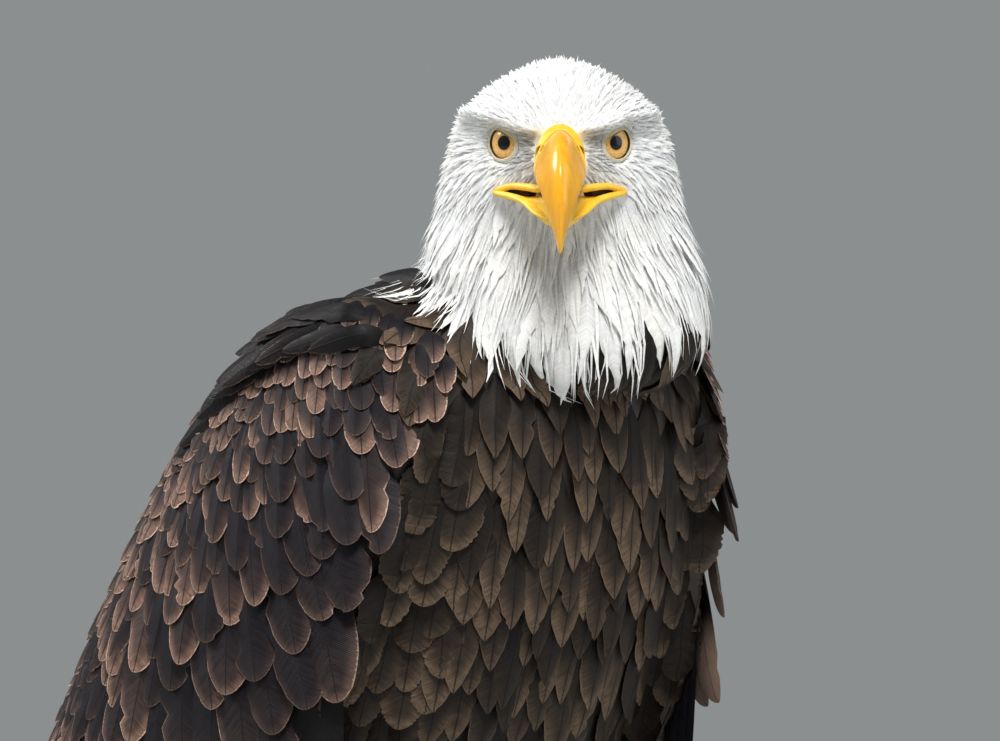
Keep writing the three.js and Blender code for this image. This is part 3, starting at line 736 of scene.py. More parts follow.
# ---------------------------------------------------------------- the surface that feathers lie on
class Surface:
    """Nearest points with smooth normals on a mesh."""

    def __init__(self, points, faces):
        self.points, self.faces = points, faces
        self.tree = BVHTree.FromPolygons(points.tolist(), faces.tolist())
        corner = points[faces]
        area = np.cross(corner[:, 1] - corner[:, 0], corner[:, -1] - corner[:, 0])
        self.area = np.linalg.norm(np.cross(corner[:, 2] - corner[:, 0], corner[:, -1] - corner[:, 1]), axis=1) / 2
        normal = np.zeros_like(points)
        for n in range(faces.shape[1]):
            np.add.at(normal, faces[:, n], area)
        self.normal = unit(normal)[faces].mean(axis=1)

    def nearest(self, points):
        found = [self.tree.find_nearest(p) for p in points]
        at = np.array([f[0] for f in found])
        face = np.array([f[2] for f in found])
        return at, unit(self.normal[face]), face


def drape(surface, roots, flow, lengths, shares, turn=0.35):
    """Paths that start at roots and run along flow over the surface. Gives points and normals, (n, rows, 3)."""
    point, normal, _ = surface.nearest(roots)
    heading = unit(flow(point) - normal * dot(flow(point), normal))
    points, normals = [point], [normal]
    for step in np.diff(shares):
        point, normal, _ = surface.nearest(point + heading * (lengths * step)[:, None])
        heading = unit(heading * (1 - turn) + unit(flow(point)) * turn)
        heading = unit(heading - normal * dot(heading, normal))
        points.append(point)
        normals.append(normal)
    return np.stack(points, 1), unit(np.stack(normals, 1))


def thin_out(points, spacing):
    """Indices of points, in random order, kept so that none is nearer than spacing to another."""
    tree = KDTree(len(points))
    for i, p in enumerate(points):
        tree.insert(p, i)
    tree.balance()
    taken = np.zeros(len(points), bool)
    kept = []
    for i in rng.permutation(len(points)):
        if taken[i]:
            continue
        kept.append(i)
        for _, j, _ in tree.find_range(points[i], spacing[i]):
            taken[j] = True
    return np.array(kept)


def scatter(surface, faces, spacing):
    """Points spread over some faces with a local spacing, given per face in metres."""
    wanted = surface.area[faces] / spacing**2 * 2.2
    count = rng.poisson(wanted)
    face = np.repeat(faces, count)
    gap = np.repeat(spacing, count)
    corner = surface.points[surface.faces[face]]
    u, v = rng.random((2, len(face), 1))
    points = (1 - u) * ((1 - v) * corner[:, 0] + v * corner[:, 1]) + u * ((1 - v) * corner[:, 3] + v * corner[:, 2])
    kept = thin_out(points, gap)
    return points[kept]


# ---------------------------------------------------------------- vanes
# Outlines give the half width, as a share of the widest, along the feather.
def rounded(share, tip=0.34):
    """A broad feather with a round end, as on the wing."""
    base = np.minimum(0.25 + 0.75 * smoothstep(0, 0.42, share), 1)
    end = np.clip((share - (1 - tip)) / tip, 0, 1)
    return base * np.sqrt(np.maximum(1 - end**2, 0.0004))


def pointed(share):
    """A body feather that narrows to a blunt point."""
    base = 0.25 + 0.75 * smoothstep(0, 0.4, share)
    return base * np.maximum(1 - np.clip((share - 0.42) / 0.58, 0, 1) ** 2.3, 0.02) ** 0.85


def lance(share):
    """A narrow feather, widest near its root and drawn out to a point."""
    return (0.35 + 0.65 * smoothstep(0, 0.3, share)) * np.maximum(1 - share**1.7, 0.02)


def quill(share, tip=0.13):
    """A long flight feather with parallel sides."""
    base = 0.3 + 0.7 * smoothstep(0, 0.25, share)
    end = np.clip((share - (1 - tip)) / tip, 0, 1)
    return base * np.sqrt(np.maximum(1 - end**2, 0.0004))


class Coat:
    """Feathers gathered into one piece: thin closed vanes, a top sheet and a flat underside."""

    def __init__(self):
        self.parts = []

    def add(self, centres, normals, half, outline, shares, lift, unwrapped, *, columns, camber=0.3, tilt=0.0,
            fray=0.0, splits=0.0, notch=0.28, tone=0.0, skew=0.0):
        """centres and normals are (n, rows, 3); half, the half width, is (n,); lift is (n, rows); all in metres."""
        n, rows = centres.shape[:2]
        across = np.linspace(-1, 1, columns)
        half = np.broadcast_to(half, n)
        along = np.gradient(centres, axis=1)
        side = unit(np.cross(along, normals))
        up = unit(np.cross(side, unit(along)))
        wide = np.broadcast_to(outline[None, :, None], (n, rows, 2)).copy()
        if fray or splits:
            torn = rng.random((n, rows, 2)) < splits
            loose = smoothstep(0.3, 0.6, shares)[None, :, None]
            wide *= 1 - loose * (fray * rng.random((n, rows, 2)) + notch * torn)
        factor = np.where(across < 0, wide[..., :1] * (1 + skew), wide[..., 1:] * (1 - skew))
        x = half[:, None, None] * across * factor
        drop = camber * half[:, None, None] * across**2 * outline[None, :, None]
        height = lift[..., None] - drop + np.broadcast_to(tilt, n)[:, None, None] * x
        top = centres[:, :, None] + side[:, :, None] * x[..., None] + up[:, :, None] * height[..., None]
        under = top[:, :, [0, -1]]
        points = np.concatenate([top, under], 2)
        length = np.linalg.norm(np.diff(centres, axis=1), axis=2).sum(1)
        to_side = half[:, None, None] * factor * (1 - np.abs(across))
        to_tip = (length[:, None] * (1 - shares))[..., None]
        y = np.broadcast_to((length[:, None] * shares)[..., None], x.shape)
        vane = np.stack([x, y, np.minimum(to_side, to_tip)], -1) / MM
        random = rng.random(n)
        feather = np.stack(np.broadcast_arrays(
            random[:, None, None], shares[None, :, None], np.broadcast_to(tone, n)[:, None, None] + 0 * x), -1)
        patch = np.stack(np.broadcast_arrays(across / 2, (shares[:, None] - 0.5)), -1) * 0.003
        uv = unwrapped[:, None, None] + patch[None]
        edges = [0, columns - 1]
        self.parts.append([
            points.reshape(-1, 3),
            self.faces(n, rows, columns),
            np.concatenate([vane, vane[:, :, edges]], 2).reshape(-1, 3),
            np.concatenate([feather, feather[:, :, edges]], 2).reshape(-1, 3),
            np.concatenate([uv, uv[:, :, edges]], 2).reshape(-1, 2),
        ])

    @staticmethod
    def faces(n, rows, columns):
        """Quads over the top of each vane, then one strip under it."""
        grid = np.arange(n * rows * (columns + 2)).reshape(n, rows, columns + 2)
        top = grid[:, :, :columns]
        over = np.stack([top[:, :-1, :-1], top[:, :-1, 1:], top[:, 1:, 1:], top[:, 1:, :-1]], -1)
        left, right = grid[:, :, columns], grid[:, :, columns + 1]
        beneath = np.stack([right[:, :-1], left[:, :-1], left[:, 1:], right[:, 1:]], -1)
        return np.concatenate([over.reshape(-1, 4), beneath.reshape(-1, 4)])

    def build(self, name, material, slot, *nodes):
        start = 0
        faces = []
        for part in self.parts:
            faces.append(part[1] + start)
            start += len(part[0])
        points, _, vane, feather, uv = (
            np.concatenate([part[i] for part in self.parts]) if i != 1 else None for i in range(5))
        piece = add_mesh(name, points, [np.concatenate(faces)], [material], np.clip(uv, 0.001, 0.999),
                         {"vane": vane, "feather": feather})
        print(name, len(piece.data.polygons) * 2, "triangles")
        return settle(piece, slot, *nodes)


def rows_of(count, power=1.0):
    """Shares along a feather, closer together towards its tip."""
    return np.sin(np.linspace(0, math.pi / 2, count)) ** power


def unwrap(points, base, axis_x, height, low, high):
    """A cylinder's unwrap of the body round a line through base."""
    away = points - base
    beside = np.cross(height, axis_x)
    angle = np.arctan2(away @ beside, away @ axis_x) / (2 * math.pi) + 0.5
    return np.stack([0.02 + 0.96 * angle, 0.02 + 0.96 * np.clip((away @ height - low) / (high - low), 0, 1)], -1)


# ---------------------------------------------------------------- white head and neck
def head_unwrap(points):
    place = to_head(points)
    return unwrap(place, np.array([0, 17, 0.0]), np.array([0, 1.0, 0]), np.array([0, 0, 1.0]), -110, 45)


def head_flow(points):
    """Feathers lead away from the bill over the crown and cheeks, then hang down the neck."""
    p = to_head(points)
    from_bill = unit(p - [0, -30, -8])
    hang = smoothstep(6, -48, p[:, 2]) + 1.2 * smoothstep(10, 45, p[:, 1]) * smoothstep(40, 10, p[:, 2])
    below_eye = smoothstep(-4, -20, p[:, 2]) * smoothstep(6, 20, np.abs(p[:, 0]))
    down = (0.12 + 1.5 * hang + 0.35 * below_eye)[:, None] * np.array([0, 0, -1.0])
    spread = 0.3 * smoothstep(-25, -65, p[:, 2])[:, None] * unit(p * [1, 1, 0] - [0, 20, 0])
    back = 0.5 * smoothstep(-20, 15, p[:, 2])[:, None] * np.array([0, 1.0, 0])
    return unit((from_bill + down + spread + back) @ HEAD_AXES)


def bare_face(points):
    """Where no feather grows: over the eyes and their lids, on the bill and along the corners of the mouth."""
    p = to_head(points)
    bare = np.zeros(len(p), bool)
    for side in EYES:
        front, radial, angle = around_eye(points, side)
        bare |= (front > 0) & (radial < lid_radius(angle) + 0.1)
    side, forward, up = np.abs(p[:, 0]), -p[:, 1], p[:, 2]
    bare |= (side < 9.6) & (forward > 20) & (up > -18) & (up < 7.0 - 0.03 * side**2)
    bare |= (side < 8) & (forward > 24) & (up > -30) & (up <= -18)
    gape = np.interp(side, [0, 10, 20, 27, 28], [-22, -21, -19.6, -19.4, -19.4])
    bare |= (side < 27.5) & (forward > 5) & (np.abs(up - gape) < 2.2)
    return bare


def hem(p):
    """How low white tips hang at a place round the neck, in the head's frame."""
    front = np.interp(p[:, 0], HEM["side"], HEM["front"])
    return front + (HEM["back"] - front) * smoothstep(-20, 15, p[:, 1])


def white_layer(skin, face, gap, length, half, rise, outline, rows, columns, clump, stray, **vane):
    """One layer of white feathers. Its sizes in mm are functions of head-frame places."""
    middle = to_head(skin.points[skin.faces[face]].mean(axis=1))
    roots = scatter(skin, face, gap(middle) * MM)
    roots = roots[~bare_face(roots)]
    p = to_head(roots)
    size = length(p) * rng.uniform(0.82, 1.18, len(roots))
    keep = p[:, 2] - 0.74 * size * smoothstep(-8, -50, p[:, 2]) > hem(p)
    roots, p, size = roots[keep], p[keep], size[keep] * MM
    lower = smoothstep(-8, -60, p[:, 2])
    shares = np.linspace(0, 1, rows)
    centres, normals = drape(skin, roots, head_flow, size, shares)
    if clump:
        leader = thin_out(roots, clump(p) * MM)
        tree = KDTree(len(leader))
        for i, k in enumerate(leader):
            tree.insert(roots[k], i)
        tree.balance()
        follows = leader[np.array([tree.find(r)[1] for r in roots])]
        along = unit(np.gradient(centres, axis=1))
        pull = centres[follows] - centres
        pull -= 0.7 * dot(pull, along) * along
        centres = centres + ((0.25 + 0.55 * lower)[:, None] * shares[None] ** 1.5)[..., None] * pull
    centres = centres + rng.normal(0, stray, (len(p), 1, 3)) * (shares[None, :, None] ** 2) * size[:, None, None]
    lift = 0.2 * MM + (rise(p) * MM * rng.uniform(0.5, 1.4, len(p)))[:, None] * shares[None] ** 1.1
    side = np.abs(p[:, 0])
    # Tone greys the white feathers. By the bill it is partly the lores' own grey and partly painted shade under the
    # brow; under the chin it is painted shade beneath the bill.
    lores_grey_and_brow_shade = smoothstep(30, 14, np.linalg.norm(p - [0, -32, -5], axis=1)) * smoothstep(6, 3.5, p[:, 2]) * smoothstep(-18, -12, p[:, 2])
    painted_throat_shade = smoothstep(26, 8, side) * smoothstep(-14, -24, p[:, 2]) * smoothstep(-62, -44, p[:, 2]) * (p[:, 1] < 0)
    tone = (0.48 * lores_grey_and_brow_shade + 0.14 * painted_throat_shade) * rng.uniform(0.5, 1.3, len(p)) + 0.05 * rng.random(len(p))
    coat = Coat()
    coat.add(centres, normals, half(p) * MM * rng.uniform(0.8, 1.2, len(p)), outline(shares), shares, lift,
             head_unwrap(roots), columns=columns, tone=tone, **vane)
    return coat


def white_coat(skin, flesh):
    # The greyer root colour is painted shade between the overlapping feathers.
    material = white_feathers("white_plumage", (0.74, 0.75, 0.77), (0.88, 0.88, 0.875), (0.85, 0.81, 0.72), 0.16)
    middle = to_head(skin.points[skin.faces].mean(axis=1))
    face = np.flatnonzero((flesh[skin.faces, 1].mean(axis=1) > 0.5) & (middle[:, 2] > -92))
    upper, lower = face[middle[face, 2] > -22], face[middle[face, 2] <= -22]

    def near(p):
        """1 by the bill and the eyes, 0 away from them."""
        bill = smoothstep(38, 12, np.linalg.norm(p - [0, -32, -6], axis=1))
        eyes = smoothstep(16, 8, np.linalg.norm(p * [0, 1, 1] + np.stack(
            [np.abs(p[:, 0]) - 25, 0 * p[:, 0] + 20, 0 * p[:, 0] - 0.4], -1), axis=1))
        return np.maximum(bill, eyes)

    def down(p):
        return smoothstep(-10, -60, p[:, 2])

    def over_shoulder(p):
        return 5 * smoothstep(-52, -74, p[:, 2])

    def nape(p):
        return smoothstep(-10, 40, p[:, 1]) * smoothstep(30, -10, p[:, 2])

    broad = dict(outline=lance, columns=5, camber=0.35, stray=0.03, fray=0.3, splits=0.3)
    fine = dict(outline=lance, rows=5, columns=3, camber=0.5, stray=0.05)
    layers = {
        "plumage_head": white_layer(
            skin, upper, lambda p: 2.5 - 0.9 * near(p), lambda p: 9.5 - 5 * near(p) + 7 * nape(p),
            lambda p: 2.0 - 1.0 * near(p), lambda p: 1.9 - 1.0 * near(p), rows=9,
            clump=lambda p: 6.5 - 3 * near(p), **broad),
        "plumage_neck": white_layer(
            skin, lower, lambda p: 3.5 + 1.5 * down(p) - 1.2 * near(p), lambda p: 17 + 24 * down(p) - 8 * near(p),
            lambda p: 2.6 + 3.4 * down(p) - 1.3 * near(p), lambda p: 2.4 + 3.4 * down(p) + over_shoulder(p), rows=14,
            clump=lambda p: 7 + 3.5 * down(p), **broad),
        "down_head": white_layer(
            skin, upper, lambda p: 1.9 - 0.6 * near(p), lambda p: 8.4 - 4.6 * near(p) + 5 * nape(p),
            lambda p: 0.42 - 0.14 * near(p), lambda p: 2.0 - 0.9 * near(p), clump=lambda p: 3.6 - 1.4 * near(p), **fine),
        "hackles": white_layer(
            skin, lower, lambda p: 2.0 + 0.6 * down(p) - 0.5 * near(p), lambda p: 14 + 24 * down(p) - 5 * near(p),
            lambda p: 0.45 + 0.35 * down(p), lambda p: 2.6 + 3.2 * down(p) + over_shoulder(p),
            clump=lambda p: 6 + 4 * down(p), **fine),
    }
    replaced = {"plumage_head": ["head"], "plumage_neck": ["neck"]}
    for name, coat in layers.items():
        coat.build(name, material, "white_plumage", *replaced.get(name, ()))


# ---------------------------------------------------------------- wings
WING_TABLE = resample(WING_ROWS, 101)


def wing_at(along, share):
    """Points of the right wing's surface and its outward normals, in the model's frame."""
    def place(along, share):
        row = np.stack([np.interp(along * 100, np.arange(101), WING_TABLE[:, i]) for i in range(7)], -1)
        upper, hang = row[..., :3], row[..., 3:6] - row[..., :3]
        bulge = row[..., 6:] * np.sin(math.pi * np.clip(share, 0, 1)[..., None] ** WING_FOLD)
        return upper, hang, upper + hang * share[..., None], bulge

    def surface(along, share):
        upper, hang, flat, bulge = place(along, share)
        ahead = place(along + 0.01, share)[0] - place(along - 0.01, share)[0]
        return flat + unit(np.cross(ahead, hang)) * bulge

    along = np.clip(along, 0.011, 0.989)
    point = surface(along, share)
    run = surface(along + 0.01, share) - surface(along - 0.01, share)
    hang = surface(along, share + 0.02) - surface(along, share - 0.02)
    return from_stance(point), unit(np.cross(run, hang))


def wing_lengths(along):
    """Local length of one unit of along, and of one unit of share, in millimetres."""
    row = lambda a: np.stack([np.interp(a * 100, np.arange(101), WING_TABLE[:, i]) for i in range(6)], -1)
    here = row(along)
    ahead = row(np.clip(along + 0.01, 0, 1)) - row(np.clip(along - 0.01, 0, 1))
    run = np.linalg.norm(ahead[..., :3] + ahead[..., 3:], axis=-1) / 2 / 0.02
    return np.maximum(run, 60), np.maximum(np.linalg.norm(here[..., 3:] - here[..., :3], axis=-1), 20)


def wing_paths(along, share, length, angle, shares):
    """Paths over the wing that start at (along, share) and lean towards its tip by angle."""
    points, normals = [], []
    a, s = along.copy(), share.copy()
    for step in [0, *np.diff(shares)]:
        run, hang = wing_lengths(a)
        a = a + np.sin(angle) * length * step / run
        s = s + np.cos(angle) * length * step / hang
        point, normal = wing_at(a, s)
        points.append(point)
        normals.append(normal)
    return np.stack(points, 1), np.stack(normals, 1)


def covert_rows():
    """Roots of the wing coverts in even rows below the upper edge: along, share and width."""
    found = []
    down, number = 1.0, 0
    while down < 190:
        width = 8.5 + 13.5 * smoothstep(10, 110, down)
        along = 0.012
        while along < 0.88:
            run, hang = wing_lengths(np.array([along]))
            size = width * (1 - 0.12 * smoothstep(0.5, 0.9, along))
            reach = down + 2.2 * size * math.cos(wing_angle(along, down / hang[0]))
            if reach < hang[0] * (1.0 - 0.4 * along) + 6:
                found.append([along + 0.5 * (number % 2) * 0.86 * size / run[0], down / hang[0], size])
            along += size * 0.86 / run[0]
        down += width * (0.8 + 0.3 * smoothstep(20, 120, down))
        number += 1
    return np.array(found)


def wing_angle(along, share):
    """How far a feather leans from hanging straight towards the wing's tip, in radians."""
    lean = 8 + 52 * smoothstep(0.1, 0.75, along) + 34 * smoothstep(0.5, 0.0, share) * smoothstep(0.0, 0.3, along)
    return np.radians(lean)


def flip(side, *arrays):
    return [a * [1, 1, 1] if side == "right" else a * [-1, 1, 1] for a in arrays]


def wing_finder():
    """Gives a place's nearest spot on its wing: along, share, and distance in mm."""
    along, share = (a.ravel() for a in np.meshgrid(np.linspace(0.01, 0.99, 120), np.linspace(0, 1, 60)))
    spots = wing_at(along, share)[0]
    tree = KDTree(len(spots))
    for i, spot in enumerate(spots):
        tree.insert(spot, i)
    tree.balance()

    def find(points):
        found = [tree.find((-abs(x), y, z)) for x, y, z in points]
        index = np.array([f[1] for f in found])
        return along[index], share[index], np.array([f[2] for f in found]) / MM

    return find


def wing_coat(side, material):
    along, share, width = covert_rows().T
    count = len(along)
    along = along + rng.normal(0, 0.004, count)
    share = share + rng.normal(0, 0.008, count)
    shares = rows_of(13)
    length = width * (2.25 + 0.3 * smoothstep(0.2, 0.9, along)) * rng.uniform(0.9, 1.1, count)
    angle = wing_angle(along, share) + rng.normal(0, 0.08, count)
    centres, normals = flip(side, *wing_paths(along, share, length, angle, shares))
    big = smoothstep(8, 22, width)
    rise = (3.4 + 3.4 * big) * MM * rng.uniform(0.75, 1.3, count)
    lift = (-3.4 * MM) + rise[:, None] * shares[None] ** 0.85
    uv = np.stack([0.02 + 0.96 * along, 0.02 + 0.96 * np.clip(share, 0, 1)], -1)
    sign = 1 if side == "right" else -1
    coat = Coat()
    for part in np.array_split(rng.permutation(count), 3):
        coat.add(centres[part], normals[part], width[part] * rng.uniform(0.56, 0.68, len(part)) * MM,
                 rounded(shares, rng.uniform(0.3, 0.5)), shares, lift[part], uv[part], columns=9, camber=0.22,
                 tilt=sign * 0.12 + rng.normal(0, 0.07, len(part)), fray=0.05, splits=0.07,
                 tone=rng.normal(0.06, 0.3, len(part)) - 0.34 * big[part], skew=rng.uniform(-0.12, 0.12))
    coat.build("coverts_" + side, material, "brown_plumage", "wing_" + side)


def flight_coat(side, material):
    sign = 1 if side == "right" else -1
    shares = rows_of(26, 0.9)
    for name, count, span, start, lean, half, sink in (
        ("secondaries_", 12, (0.17, 0.5), (0.62, 0.5), 0.12, 15.0, (5, 6)),
        ("primaries_", 10, (0.42, 0.9), (0.55, 0.1), 0.1, 13.0, (9, 3)),
    ):
        place = (np.arange(count) + 0.5) / count
        along = span[0] + (span[1] - span[0]) * place
        first = start[0] + (start[1] - start[0]) * place
        path = along[:, None] + lean * shares[None]
        down = first[:, None] + (0.985 - first[:, None]) * shares[None]
        points, normals = flip(side, *wing_at(path, down))
        depth = (sink[0] + (sink[1] - sink[0]) * place)[:, None] * MM
        lift = -depth + 1.2 * MM * shares[None]
        uv = np.stack([0.02 + 0.96 * along, 0.02 + 0.96 * first], -1)
        coat = Coat()
        coat.add(points, normals, np.full(count, half * MM), quill(shares), shares, lift, uv, columns=9, camber=0.07,
                 tilt=sign * 0.09, fray=0.02, splits=0.03, tone=rng.uniform(-0.3, 0.1, count), skew=0.12 * sign)
        coat.build(name + "coat_" + side, material, "brown_plumage", name + side)


def scapular_coat(skin, side, material):
    """Long dark feathers of the shoulder that cover the join between back and wing."""
    sign = 1 if side == "right" else -1
    shares = rows_of(14)
    roots, width, ahead, above, slant, late = [], [], [], [], [], []
    for row, (inward, step, end) in enumerate((
            (22, 0.026, 0.6), (12, 0.024, 0.6), (3, 0.022, 0.55), (-7, 0.022, 0.3), (-15, 0.022, 0.24))):
        along = np.arange(0.05 + 0.5 * step * (row % 2), end, step)
        above.append((1.0 if inward > 0 else 4.0) * (1 - smoothstep(0.1, 0.26, along)))
        line = wing_at(along, max(-inward, 0) / wing_lengths(along)[1])[0]
        later = wing_at(along + 0.03, max(-inward, 0) / wing_lengths(along)[1])[0]
        fade = 1 - 0.7 * smoothstep(0.3, 0.6, along)
        roots.append(line + np.outer(fade, [1, -0.1, 0.3]) * max(inward, 0) * MM)
        ahead.append(unit(later - line - [0, 0, 1.5 * MM]))
        width.append(9.5 + 5 * smoothstep(0.05, 0.3, along))
        slant.append(0.3 - 0.25 * smoothstep(0.12, 0.3, along))
        late.append(smoothstep(0.1, 0.28, along))
    roots, width, ahead, slant, late = (np.concatenate(part) for part in (roots, width, ahead, slant, late))
    roots, ahead = flip(side, roots, ahead)
    length = width * rng.uniform(3.6, 4.4, len(roots)) * MM
    centres, normals = drape(skin, roots, lambda p: ahead, length, shares, 0.2)
    above = np.concatenate(above)[:, None] * smoothstep(0, 0.3, shares)
    rise = 5.5 * (1 - 0.4 * late)
    lift = (1.5 + above) * MM + (rise * MM * rng.uniform(0.7, 1.3, len(roots)))[:, None] * shares[None] ** 0.85
    line, _ = spine_line(10)
    uv = unwrap(centres[:, 0], line[0], np.array([1.0, 0, 0]), unit(line[-1] - line[0]), 0, 0.5)
    coat = Coat()
    coat.add(centres, normals, width * 0.5 * MM, rounded(shares, 0.62), shares, lift, uv, columns=7, camber=0.2,
             tilt=sign * slant + rng.normal(0, 0.08, len(roots)), fray=0.08, splits=0.1,
             tone=rng.uniform(-0.6, 0.0, len(roots)))
    coat.build("scapulars_" + side, material, "brown_plumage")


# ---------------------------------------------------------------- brown body
def spine_line(count):
    """Points and directions, tail to neck, along the trunk."""
    line = resample(SPINE, count)
    points = from_stance(np.column_stack([np.zeros(count), line]))
    return points, unit(np.gradient(points, axis=0))


def body_flow(points):
    """Down the trunk towards the tail; the breast hangs straighter, and the flanks sweep back over the wings."""
    line, _ = spine_line(12)
    place = (points - STANCE) / MM
    height = np.interp(place[:, 2], line[:, 2] / MM, (line[:, 1] - STANCE[1]) / MM)
    front = smoothstep(10, -50, place[:, 1] - height)
    tail = -unit(line[-1] - line[0])
    sideways = np.clip(place[:, 0] / 90, -1, 1)
    flank = front * smoothstep(0.3, 0.9, np.abs(sideways))
    sweep = np.stack([0.12 * sideways * front, 0.3 * flank, -1.0 * front], -1)
    return unit((1 - front)[:, None] * tail + sweep)


def feather_field(skin, face, name, material, *, gap, length, half, rise, outline, rows, columns, flow, uv, tone,
                  fray, splits, notch=0.28, keep=None, slot="brown_plumage", nodes=(), pieces=1, depth=lambda q: 0.4 + 0 * q[:, 0]):
    """Feathers scattered over some faces of the skin. Sizes in mm are functions of the roots' places."""
    roots = scatter(skin, face, gap(skin.points[skin.faces[face]].mean(axis=1)) * MM)
    if keep is not None:
        roots = roots[keep(roots)]
    roots = roots[np.argsort(roots[:, 2])]
    size = length(roots) * rng.uniform(0.85, 1.15, len(roots)) * MM
    shares = rows_of(rows)
    centres, normals = drape(skin, roots, flow, size, shares)
    lift = depth(roots)[:, None] * MM + (rise(roots) * MM * rng.uniform(0.65, 1.35, len(roots)))[:, None] * shares[None] ** 0.9
    wide = half(roots) * MM * rng.uniform(0.85, 1.15, len(roots))
    for number, part in enumerate(np.array_split(np.arange(len(roots)), pieces)):
        coat = Coat()
        coat.add(centres[part], normals[part], wide[part], outline(shares), shares, lift[part], uv(roots[part]),
                 columns=columns, camber=0.24, tilt=rng.normal(0, 0.07, len(part)), fray=fray, splits=splits, notch=notch,
                 tone=tone(len(part)))
        label = name if pieces == 1 else name + "_" + "abcdef"[number]
        coat.build(label, material, slot, *(nodes if number == 0 else ()))


def body_coat(skin, flesh, kind, wing_place):
    breast = brown_feathers("breast_feathers", (0.0095, 0.0068, 0.0056), (0.1, 0.068, 0.045), (0.14, 0.096, 0.066), 0.6,
                            spread=(0.2, 6.5), start=0.3, sheen=(0.6, 0.5, 0.42))
    back = brown_feathers("back_feathers", (0.0062, 0.0048, 0.005), (0.055, 0.036, 0.026), (0.17, 0.11, 0.08), 0.8)
    line, _ = spine_line(12)
    low, top = line[0], line[-1]
    axis = unit(top - low)

    def uv(points):
        return unwrap(points, low, np.array([1.0, 0, 0]), axis, 0, np.linalg.norm(top - low))

    def flank(points):
        return smoothstep(40, 62, np.abs(points[:, 0]) / MM)

    def off_the_wing(points):
        along, share, distance = wing_place(points)
        hang = wing_lengths(along)[1]
        overlap = np.interp(along, [0.02, 0.06, 0.14, 0.25, 0.4, 0.55], [0, 8, 13, 14, 10, 0])
        overlap = overlap * np.where(points[:, 0] > 0, 0.2, 1.0)
        return (distance > 10) | ((1 - share) * hang < overlap) | (along < 0.045)

    def over_wing(points):
        """Feathers rooted on the wing's front edge lie over its coverts."""
        along, share, distance = wing_place(points)
        return 0.4 + 6.0 * smoothstep(38, 14, distance) * smoothstep(0.02, 0.07, along) * (points[:, 0] < 0)

    middle = skin.points[skin.faces].mean(axis=1)
    of_kind = kind[skin.faces[:, 0]]
    height = np.interp(middle[:, 2], line[:, 2], line[:, 1])
    body = ((of_kind != "thigh") & (of_kind != "leg")) & (flesh[skin.faces, 1].mean(axis=1) < 0.6)
    ahead = middle[:, 1] < height + 0.012
    near_neck = lambda points: smoothstep(0.46, 0.53, points[:, 2])
    flanks = (np.abs(middle[:, 0]) > 54 * MM) & (middle[:, 2] < 0.5)
    chest = body & ahead & (middle[:, 2] > 0.19)
    feather_field(
        skin, np.flatnonzero(chest & ~flanks), "feathers_front", breast,
        gap=lambda q: 9.4 + 2.0 * flank(q) - 2.0 * near_neck(q), length=lambda q: 40 + 4 * flank(q) - 12 * near_neck(q),
        half=lambda q: 7.8 + 2.2 * flank(q) - 1.8 * near_neck(q), rise=lambda q: 6.2 + 0 * q[:, 0], outline=pointed,
        rows=18, columns=5, flow=body_flow, uv=uv, tone=lambda n: rng.normal(0.12, 0.3, n), fray=0.09, splits=0.05,
        keep=off_the_wing, nodes=("trunk",), pieces=2, depth=over_wing)
    feather_field(
        skin, np.flatnonzero(chest & flanks), "feathers_flank", breast,
        gap=lambda q: 9.6 + 0 * q[:, 0], length=lambda q: 35 + 0 * q[:, 0],
        half=lambda q: 10.6 + 0 * q[:, 0], rise=lambda q: 6.2 + 0 * q[:, 0], outline=lambda t: rounded(t, 0.5),
        rows=44, columns=7, flow=body_flow, uv=uv, tone=lambda n: rng.normal(0.0, 0.25, n), fray=0.05, splits=0.3,
        notch=0.09,
        keep=off_the_wing, depth=over_wing)
    feather_field(
        skin, np.flatnonzero(body & ~ahead), "feathers_back", back,
        gap=lambda q: 10.5 - 2.5 * near_neck(q), length=lambda q: 40 - 10 * near_neck(q),
        half=lambda q: 9 - 2.5 * near_neck(q), rise=lambda q: 5.6 + 0 * q[:, 0], outline=rounded,
        rows=12, columns=7, flow=body_flow, uv=uv, tone=lambda n: rng.normal(-0.1, 0.25, n), fray=0.08, splits=0.1,
        keep=off_the_wing, pieces=2, depth=over_wing)
    return breast


def thigh_coat(skin, flesh, kind, material):
    of_kind = kind[skin.faces[:, 0]]
    leg = flesh[skin.faces, 0].mean(axis=1)
    middle = skin.points[skin.faces].mean(axis=1)
    for side, sign in (("right", -1), ("left", 1)):
        face = np.flatnonzero((of_kind == "thigh") & (leg < 0.4) & (middle[:, 0] * sign > 0))
        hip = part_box("thigh_" + side)
        base = np.array((hip[0] + hip[1]) / 2) * [1, 1, 0]
        low = lambda q: smoothstep(0.15, 0.09, q[:, 2])
        feather_field(
            skin, face, "feathers_thigh_" + side, material,
            gap=lambda q: 7.6 - 2.4 * low(q), length=lambda q: 27 - 9 * low(q), half=lambda q: 5.6 - 2.2 * low(q),
            rise=lambda q: 4.8 - 1.4 * low(q), outline=pointed, rows=12, columns=5,
            flow=lambda q: np.broadcast_to([0, 0.02, -1.0], q.shape),
            uv=lambda q: unwrap(q, base, np.array([1.0, 0, 0]), np.array([0, 0, 1.0]), 0.07, 0.3),
            tone=lambda n: rng.normal(-0.1, 0.25, n), fray=0.2, splits=0.15, nodes=("thigh_" + side,))


